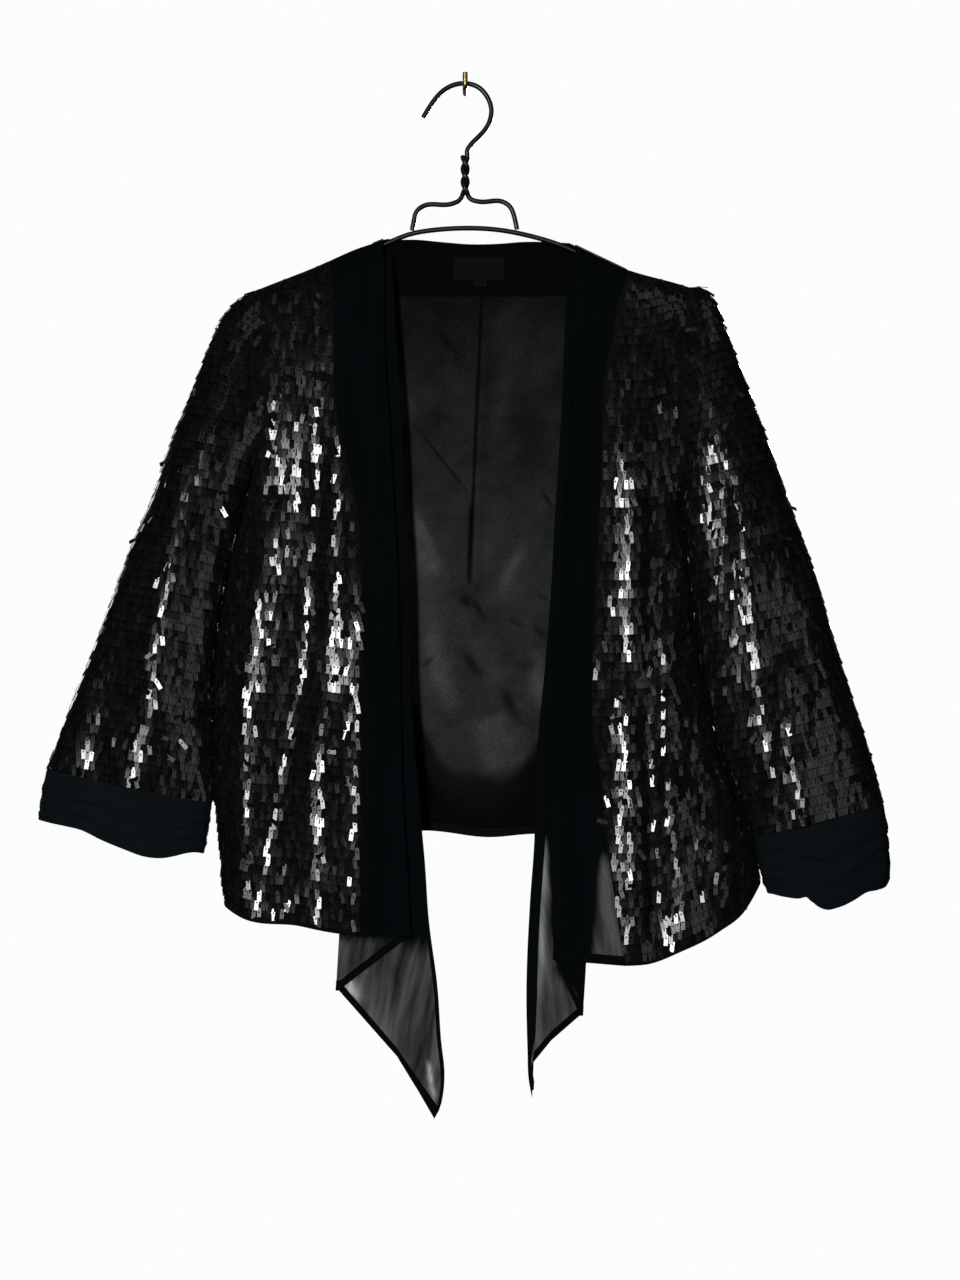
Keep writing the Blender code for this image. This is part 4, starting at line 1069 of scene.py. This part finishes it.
def waterfall_grid(side, section, down):
    """Middle of a waterfall's cloth: three layers a step apart and the round bends between
    them, with soft pleats below the shoulder that fade out."""
    inward = INWARD[side]
    bend = LAYER_STEP / 2
    points = []
    for key in WATERFALL_LINES:
        table = WATERFALL[side][key]
        points.append(line_down(table, float(crest(table[1][0])), table[0][-1], down))
    pull = (0.0, -bend * inward, bend * inward, 0.0, 0.0, 0.0)
    columns = []
    for start, stop, share, layer, bulge in section:
        a = points[start] + (pull[start], 0.0)
        b = points[stop] + (pull[stop], 0.0)
        flat = a + (b - a) * share
        flat[:, 0] += bulge * bend * (inward if stop == 1 else -inward)
        x, z = flat[:, 0], flat[:, 1]
        y = front_y(side, x, z) + LAYER_STEP * layer
        if layer == 0:
            drop, swell = crest(x) - z, np.sin(np.pi * share)
            gather = np.exp(-drop / 90) * np.clip(drop / 12, 0, 1) * swell
            y = y - gather * (0.9 * np.sin(share * 17 + 0.02 * drop) + 0.5 * np.sin(share * 31))
            sway = np.sin(share * 9 + drop / 90) * np.clip(drop / 200, 0, 1)
            y = y - 0.7 * swell * sway
        columns.append(np.stack((x, y, z), axis=-1))
    grid = np.stack(columns, axis=1)
    grid[:, 0, 0] += inward * SEAM_GAP / 2
    grid[0, :, 1] -= SEAM_GAP / 2
    return grid


def waterfall_directions(side, section, grid):
    """Directions of the wall's thickness: level and round the bends, and square to the cloth on
    the first layer."""
    inward = INWARD[side]
    turned = np.array([(inward * row[4], -np.cos(np.pi * row[3]), 0.0) for row in section])
    out = np.broadcast_to(turned, grid.shape).copy()
    flat_columns = sum(1 for row in section if row[3] == 0)
    out[:, :flat_columns] = facing_way(grid_normals(grid[:, :flat_columns]), -1)
    return unit(out)


class JACKET_OT_waterfalls(bpy.types.Operator):
    """See-through waterfall fronts, each one sheet folded in a Z, with narrow turned hems"""

    bl_idname = "jacket.waterfalls"
    bl_label = "Waterfall fronts"

    def execute(self, context):
        settings = context.scene.jacket_chiffon
        sheer = chiffon_material("chiffon_sheer", settings, settings.opacity, 0.5)
        doubled = chiffon_material("chiffon_hem", settings, 0.94, 0.5)
        section = fold_section(WATERFALL_STEPS, BEND_STEPS)
        behind = np.array([row[3] for row in section[1:]]) > 0
        for side in SIDES:
            grid = waterfall_grid(side, section, eased(WATERFALL_ROWS, 0.2))
            out = waterfall_directions(side, section, grid)
            middle = grid - CHIFFON_WALL / 2 * out
            drop = grid[0, 1:, 2] - grid[1:, 1:, 2]
            piece = shell("chiffon_waterfall_" + side, middle + CHIFFON_HALF * out,
                          middle - CHIFFON_HALF * out,
                          absent=behind & (drop < HIDDEN_LAYERS_DROP))
            paint(piece, "clear", self.shown_through(side, *points_of(piece).T))
            dress(piece, sheer, "chiffon", "waterfall_" + side)
            self.hems(side, middle, out, settings.hem / MM, doubled)
        return {"FINISHED"}

    def shown_through(self, side, x, y, z):
        """How much more of the ground shows: by the sheer folds, and by one share on the second
        layer below the point where the first one ends."""
        top, share = SHEER_BELOW[side]
        layer = (y - front_y(side, x, z)) / LAYER_STEP
        below = np.clip((top - z) / 3, 0, 1)
        return folds("sheer_" + side, x, z) + share * below * (np.abs(layer - 1.1) < 0.4)

    def hems(self, side, middle, out, height, material):
        """Strips along the lower edge and the free edge, a little thicker than the sheet, whose
        points are read off the sheet's own grid. The free edge's strip falls as the front does."""
        steps = np.linspace(0, 1, 6)
        self.strip("hem_lower_" + side, *lower_strip(middle, out, height, steps), material)
        rise = middle[:, -1, 2] - middle[-1, -1, 2]
        first = int(np.argmax(rise[0] - rise > HIDDEN_LAYERS_DROP + 6))
        last = int(np.argmax(rise < 0.3))
        edge = middle[first:last, -1]
        run = unit(np.gradient(edge, axis=0))
        lean = unit(np.stack((run[:, 2], 0 * run[:, 2], -run[:, 0]), axis=-1))
        lean = lean * -INWARD[side] * np.sign(lean[:, :1])
        wide = np.interp(edge[:, 2], *EDGE_HEM[side])
        points = edge[:, None] + lean[:, None] * (wide[:, None] * steps)[..., None]
        fall = front_y(side, points[..., 0], points[..., 2])
        fall = fall - front_y(side, edge[:, 0], edge[:, 2])[:, None]
        points[..., 1] = edge[:, 1:2] + fall - 0.12
        away = np.repeat(out[first:last, -1:], len(steps), axis=1)
        self.strip("hem_edge_" + side, points, away, material)

    def strip(self, name, points, away, material):
        """A hem on both sides of its points."""
        piece = shell(name, points + HEM_HALF * away, points - HEM_HALF * away)
        dress(piece, material, "chiffon")


def cuff_rings(side):
    """Outer points of a cuff, each ring's share of the way down and the angles round it: half
    ovals between the table's ends, lowered towards the foot to that edge's own curve."""
    at = np.linspace(0, 1, CUFF_ROWS)
    outer, inner = (
        np.stack([smooth(np.linspace(0, 1, len(end)), column, at) for column in zip(*end)],
                 axis=-1)
        for end in (CUFF[side]["outer"], CUFF[side]["inner"]))
    front, back = (np.full(CUFF_ROWS, SLEEVE_DEPTH[half][-1] - 1.0) for half in ("front", "back"))
    angle = np.linspace(0, 2 * np.pi, CUFF_COLUMNS, endpoint=False)[None]
    rings = half_ovals(outer, inner, front, back, HANGER_Y - SLEEVE_FORWARD, angle)
    edge = smooth(*CUFF_EDGE[side], rings[-1:, :, 0])
    rings[..., 2] += (edge - rings[-1:, :, 2]) * at[:, None] ** 1.5
    return rings, at[:, None], angle


def gathers(at, angle, height, count):
    """Height of a cuff's gathers: a raised cosine of the share down the cuff, whose phase
    wanders round it by a sum of sines, times an uneven swell, with finer puckers on it."""
    wander = 1.3 * np.sin(2 * angle + 2 * at) + 0.8 * np.sin(5 * angle - 3 * at)
    wander = wander + 0.7 * np.sin(9 * angle + 5 * at) + 0.4 * np.sin(17 * angle - 7 * at)
    turn = at * count * 2 * np.pi + wander
    swell = 0.55 + 0.45 * np.sin(3 * angle + 7 * at) * np.sin(7 * angle - 9 * at)
    raised = height * (0.5 - 0.5 * np.cos(turn)) * swell * np.sin(np.pi * at) ** 0.5
    pucker = np.sin(41 * angle + 6 * np.sin(3 * turn)) + np.sin(67 * angle + 2.3 * turn)
    return raised + 0.12 * height * pucker * np.sin(np.pi * at)


class JACKET_OT_cuffs(bpy.types.Operator):
    """Gathered chiffon cuffs"""

    bl_idname = "jacket.cuffs"
    bl_label = "Cuffs"

    def execute(self, context):
        settings = context.scene.jacket_chiffon
        material = chiffon_material("chiffon_gathered", settings, 1.0, 1.0, 1.6)
        for side in SIDES:
            rings, at, angle = cuff_rings(side)
            out = tube_normals(rings)
            raised = gathers(at, angle, settings.gather_height / MM, settings.gathers)
            raised = raised + folds("cuff_" + side, rings[..., 0], rings[..., 2])
            piece = shell("chiffon_cuff_" + side, rings + out * raised[..., None],
                          rings - 0.8 * out, closed=True)
            dress(piece, material, "chiffon", "cuff_" + side)
        return {"FINISHED"}


class JACKET_OT_bindings(bpy.types.Operator):
    """Narrow bindings on the hems of the fronts and the back"""

    bl_idname = "jacket.bindings"
    bl_label = "Hem bindings"

    def execute(self, context):
        material, _, _ = woven_material("binding", (0.0016, 0.0024, 0.0026), 0.8, 0.03, 380.0,
                                        0.00015, 0.5, 0.5)
        for side in SIDES:
            self.strip(side, front_grid(side), material)
        grid = back_grid()
        self.strip("back", grid - BODY_WALL * facing_way(grid_normals(grid), 1), material)
        return {"FINISHED"}

    def strip(self, panel, grid, material):
        """The lowest part of a panel's grid, a seam's gap in front of it, with rounded edges."""
        steps = np.linspace(0, 1, 7)
        out = facing_way(grid_normals(grid), -1)
        points, away = lower_strip(grid[:, 1:-1], out[:, 1:-1], BINDING_HEIGHT, steps)
        swell = 0.35 + 0.75 * np.sqrt(np.maximum(1 - (2 * steps - 1) ** 2, 0))
        piece = shell("binding_" + panel, points + (SEAM_GAP + swell[:, None, None]) * away,
                      points + SEAM_GAP * away)
        dress(piece, material, "binding", "hem_binding_" + panel)


def inside_back(x, z, gap):
    """Points inside the back's wall by a gap."""
    return np.stack((x, back_y(x, z) - BODY_WALL - gap, z), axis=-1)


def slab(name, near, thickness):
    """A sheet between a grid and its copy that far in front of it."""
    return shell(name, near, near - (0.0, thickness, 0.0))


def satin_material(settings):
    """Satin with a fine grain: clouds and flecks in its colour, all of it times the painted
    tone, which is painted shade and painted sheen, and duller where that is low."""
    colour = tuple(settings.colour)
    material, tree, shader = new_material("satin", colour, settings.roughness,
                                          Specular_IOR_Level=0.036)
    place = place_on(tree, "UV")
    clouds = noise(tree, place, 36.0, 5.0, 0.65)
    flecks = noise(tree, place, 480.0, 3.0, 0.7)
    tone = attribute(tree, "tone")
    tint = ramp(tree, clouds, ((0.32, tinted(colour, 0.62, 0.64, 0.66)),
                               (0.68, tinted(colour, 1.42, 1.40, 1.37))))
    tint = multiplied(tree, tint, ramp(tree, flecks, ((0.36, 0.50), (0.64, 1.0))))
    # Painted shade and sheen: the satin's colour times its painted tone.
    tint = multiplied(tree, tint, ramp(tree, tone, ((0.0, 0.0), (1.0, 1.0))))
    grain = bumped(tree, bands(tree, place, 500.0, 1.0, "X"), 0.00005, 0.35)
    feed(shader, Base_Color=tint,
         Roughness=spread(tree, tone, 0.95, settings.roughness, 0.1, 0.9),
         Normal=bumped(tree, clouds, 0.0020, 0.6, Normal=grain))
    return material


class JACKET_OT_lining(bpy.types.Operator):
    """Satin back lining with its pleat, matte neck facing, blank label and blank tab"""

    bl_idname = "jacket.lining"
    bl_label = "Lining and label"

    def execute(self, context):
        settings = context.scene.jacket_lining
        self.satin(settings)
        self.facing(settings)
        return {"FINISHED"}

    def satin(self, settings):
        """The lining's depth is the back's, less the pleat and soft creases."""
        down = np.linspace(0, 1, LINING_ROWS)[:, None]
        across = np.linspace(0, 1, LINING_COLUMNS)[None]
        across = across + 0.6 * np.sin(2 * np.pi * across) / (2 * np.pi)
        foot_z = smooth(*HEM["back"], -180 + 390 * across) + 9.0
        z = LINING_TOP + (foot_z - LINING_TOP) * down
        left, right = side_x("left", z) + 24.0, side_x("right", z) - 24.0
        x = left + (right - left) * across
        creases, pleat = folds("lining_creases", x, z, 0.8), folds("lining_pleat", x, z)
        near = inside_back(x, z, 1.6)
        near[..., 1] -= folds("lining", x, z) + creases - pleat
        piece = slab("satin_lining", near, 0.5)
        # The painted tone of the satin: painted shade and painted sheen.
        paint(piece, "tone", np.tile(self.tone(x, z, creases, pleat).ravel(), 2))
        dress(piece, satin_material(settings), "satin", "back_lining")

    def tone(self, x, z, creases, pleat):
        """Painted light on the satin: dark under a line near the hem as a painted shadow, dull
        near the top as painted shade, plus soft patches of painted sheen, then lighter on slopes
        towards the light and darker in the creases and the pleat, as painted highlight and painted
        shade."""
        # Painted shadow: dark below the line near the hem, with a soft painted edge.
        dark = smooth(*LINING_SHADE, x)
        lit = np.clip((z - dark) / 16 + 0.5, 0.0, 1.0)
        lit = lit * lit * (3 - 2 * lit)
        dusk = np.clip((z - dark + 40) / 40, 0, 1) * np.clip((60 - x) / 30, 0, 1)
        tone = 0.06 + 0.12 * dusk * (1 - lit) + 0.50 * lit
        # Painted shade: duller towards the top.
        tone = tone * (0.27 + 0.73 * np.clip((-z - 190) / 220, 0, 1))
        slope = np.gradient(creases, axis=1) / np.gradient(x, axis=1)
        # Patches of painted sheen, and painted shade in the creases.
        tone = (tone + folds("lining_painted_sheen", x, z)) * np.exp(1.1 * np.clip(creases, -2, 0.4))
        # Painted highlight on crease slopes that face the light, painted shade on the others.
        tone = tone * (1 + 2.2 * np.clip(slope, -0.3, 0.3))
        # Painted shade in the pleat.
        return np.clip(tone * np.exp(-1.8 * pleat), 0.02, 1.0)

    def facing(self, settings):
        """Facing, label and tab follow the back's inside, a gap apart from each other."""
        plain, _, _ = woven_material("facing_cloth", (0.0012, 0.0015, 0.0014), 0.92, 0.012,
                                     300.0, 0.0002, 0.6, 0.8)
        down = np.linspace(0, 1, 40)[:, None]
        x = FACING_LEFT + FACING_WIDTH * np.linspace(0, 1, 110)[None] + 0 * down
        top = np.minimum(smooth(*NECK, x) - 1.0, crest(x) - 8.0)
        near = inside_back(x, top + (FACING_FOOT - top) * down, 0.9)
        dress(slab("cloth_facing", near, 0.8), plain, "facing_cloth", "neck_facing")
        fine, _, _ = woven_material("label_cloth", tuple(settings.label_colour), 0.6, 0.018,
                                    520.0, 0.00012, 0.5)
        u, v = np.meshgrid(np.linspace(0, 1, 40), np.linspace(0, 1, 20))
        for name, node, (x0, z0), (x1, z1), gap in NECK_PIECES:
            near = inside_back(x0 + (x1 - x0) * u, z0 + (z1 - z0) * v, gap)
            dress(slab(name, near, 0.55), fine, "label_cloth", node)


class JACKET_OT_sheets(bpy.types.Operator):
    """Does nothing: no flat cut of any sheet of cloth is stated"""

    bl_idname = "jacket.sheets"
    bl_label = "Flat cuts"

    def execute(self, context):
        return {"FINISHED"}


class JACKET_OT_metal(bpy.types.Operator):
    """Lacquered wires of the hanger and the worn brass wall hook"""

    bl_idname = "jacket.metal"
    bl_label = "Hanger and hook"

    def execute(self, context):
        lacquer, tree, shader = new_material("lacquer", (0.002, 0.002, 0.0022), 0.28,
                                             Specular_IOR_Level=0.2)
        specks = noise(tree, place_on(tree, "Object"), 900.0, 3.0)
        feed(shader, Roughness=spread(tree, specks, 0.2, 0.42))
        brass, tree, shader = new_material("brass", (0.42, 0.33, 0.13), 0.34, Metallic=1.0)
        wear = noise(tree, place_on(tree, "Object"), 420.0, 5.0, 0.65)
        tint = ramp(tree, wear, ((0.35, (0.13, 0.10, 0.04)), (0.65, (0.33, 0.26, 0.10))))
        feed(shader, Base_Color=tint, Roughness=spread(tree, wear, 0.5, 0.25))
        for name, node, slot in METAL:
            self.rounded(name, node, brass if slot == "brass" else lacquer, slot)
        return {"FINISHED"}

    def rounded(self, name, node, material, slot):
        """A copy of a node's solid with its triangles joined in pairs, each cut in four and
        brought to a smooth round, sharp at its ends, and moved out along its normals."""
        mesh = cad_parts[node].data.copy()
        mesh.materials.clear()
        mesh.attributes.remove(mesh.attributes["custom_normal"])
        joined = bmesh.new()
        joined.from_mesh(mesh)
        bmesh.ops.remove_doubles(joined, verts=joined.verts, dist=1e-6)
        bmesh.ops.join_triangles(joined, faces=joined.faces, angle_face_threshold=0.5,
                                 angle_shape_threshold=np.pi)
        joined.to_mesh(mesh)
        joined.free()
        mesh.shade_smooth()
        mesh.set_sharp_from_angle(angle=np.radians(60))
        sharp = np.zeros(len(mesh.edges), bool)
        mesh.attributes["sharp_edge"].data.foreach_get("value", sharp)
        crease = mesh.attributes.new("crease_edge", "FLOAT", "EDGE")
        crease.data.foreach_set("value", sharp.astype(np.float32))
        piece = add_object(name, mesh)
        piece.modifiers.new("round", "SUBSURF").levels = 1
        evaluated = piece.evaluated_get(bpy.context.evaluated_depsgraph_get())
        mesh = bpy.data.meshes.new_from_object(evaluated)
        piece.modifiers.clear()
        points = np.zeros(3 * len(mesh.vertices))
        normals = np.zeros_like(points)
        mesh.vertices.foreach_get("co", points)
        mesh.vertex_normals.foreach_get("vector", normals)
        mesh.vertices.foreach_set("co", points + METAL_COAT * MM * normals)
        mesh.set_sharp_from_angle(angle=np.radians(60))
        piece.data = mesh
        dress(piece, material, slot, node)


class JACKET_OT_stage(bpy.types.Operator):
    """Pale floor, soft studio light and the camera at the photograph's angle"""

    bl_idname = "jacket.stage"
    bl_label = "Stage"

    def execute(self, context):
        settings = context.scene.jacket_stage
        self.floor(settings)
        self.surround(context.scene, settings)
        for name, share, width, height, place in LIGHTS:
            self.light(name, share * settings.key_power, (width, height), place)
        data = bpy.data.cameras.new("camera")
        data.lens = settings.lens
        data.sensor_width = SENSOR
        data.clip_end = 40.0
        camera = add_object("camera", data)
        camera.location = np.subtract(VIEW_CENTRE, (0, settings.lens / SENSOR * VIEW_HEIGHT, 0))
        camera.rotation_euler = (np.pi / 2, 0.0, 0.0)
        context.scene.camera = camera
        return {"FINISHED"}

    def floor(self, settings):
        """A pale floor that no piece reflects."""
        corners = 6e3 * np.array(((-1, -1), (1, -1), (1, 1), (-1, 1)))
        floor = mesh_piece("floor", np.insert(corners, 2, settings.floor_drop / MM, axis=1),
                           np.array(((0, 1, 2, 3),)))
        material, _, _ = new_material("pale_floor", (0.0, 0.0, 0.0), 0.9, Specular_IOR_Level=0.0,
                                      Emission_Color=PALE, Emission_Strength=1.0)
        floor.data.materials.append(material)
        floor.visible_diffuse = floor.visible_glossy = False

    def surround(self, scene, settings):
        """A pale surround for the camera that lights the pieces only a little."""
        world = bpy.data.worlds.new("pale_surround")
        world.use_nodes = True
        tree = world.node_tree
        seen = tree.nodes["Background"]
        seen.inputs["Color"].default_value = PALE
        seen.inputs["Strength"].default_value = settings.surround
        lit = add_node(tree, "ShaderNodeBackground",
                       {"Color": (1.0, 1.0, 1.0, 1.0), "Strength": settings.ambient})
        path = add_node(tree, "ShaderNodeLightPath")
        both = add_node(tree, "ShaderNodeMixShader",
                        {0: path.outputs["Is Camera Ray"], 1: lit.outputs[0], 2: seen.outputs[0]})
        tree.links.new(both.outputs[0], tree.nodes["World Output"].inputs["Surface"])
        scene.world = world
        scene.view_settings.view_transform = "Standard"

    def light(self, name, power, size, place):
        """A soft light, width by height, that looks from its place at the jacket."""
        data = bpy.data.lights.new(name, "AREA")
        data.shape = "RECTANGLE"
        data.energy = power
        data.size, data.size_y = size
        lamp = add_object(name, data)
        lamp.visible_camera = False
        look = unit(np.subtract(LIGHT_AIM, place))
        lamp.location = place
        lamp.rotation_euler = (np.arccos(-look[2]), 0.0, np.arctan2(-look[0], look[1]))


class JACKET_PT_panel(bpy.types.Panel):
    """Sizes and steps of the jacket"""

    bl_label = "Jacket"
    bl_idname = "JACKET_PT_panel"
    bl_space_type = "VIEW_3D"
    bl_region_type = "UI"
    bl_category = "Jacket"

    def draw(self, context):
        for group in ("sequins", "chiffon", "lining", "stage"):
            settings = getattr(context.scene, "jacket_" + group)
            box = self.layout.box()
            for key in type(settings).__annotations__:
                box.prop(settings, key)
        for operator in OPERATORS:
            self.layout.operator(operator.bl_idname)


SETTINGS = {"sequins": SequinSettings, "chiffon": ChiffonSettings, "lining": LiningSettings,
            "stage": StageSettings}
OPERATORS = (JACKET_OT_cloth, JACKET_OT_sequins, JACKET_OT_waterfalls, JACKET_OT_cuffs,
             JACKET_OT_bindings, JACKET_OT_lining, JACKET_OT_metal, JACKET_OT_sheets,
             JACKET_OT_stage)
CLASSES = (*SETTINGS.values(), *OPERATORS, JACKET_PT_panel)


def register():
    for each in CLASSES:
        bpy.utils.register_class(each)
    for name, group in SETTINGS.items():
        setattr(bpy.types.Scene, "jacket_" + name, bpy.props.PointerProperty(type=group))


def unregister():
    for name in SETTINGS:
        delattr(bpy.types.Scene, "jacket_" + name)
    for each in reversed(CLASSES):
        bpy.utils.unregister_class(each)


def main():
    """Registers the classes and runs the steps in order."""
    register()
    bpy.ops.jacket.cloth()
    bpy.ops.jacket.sequins()
    bpy.ops.jacket.waterfalls()
    bpy.ops.jacket.cuffs()
    bpy.ops.jacket.bindings()
    bpy.ops.jacket.lining()
    bpy.ops.jacket.metal()
    bpy.ops.jacket.sheets()
    bpy.ops.jacket.stage()


if __name__ == "__main__":
    main()
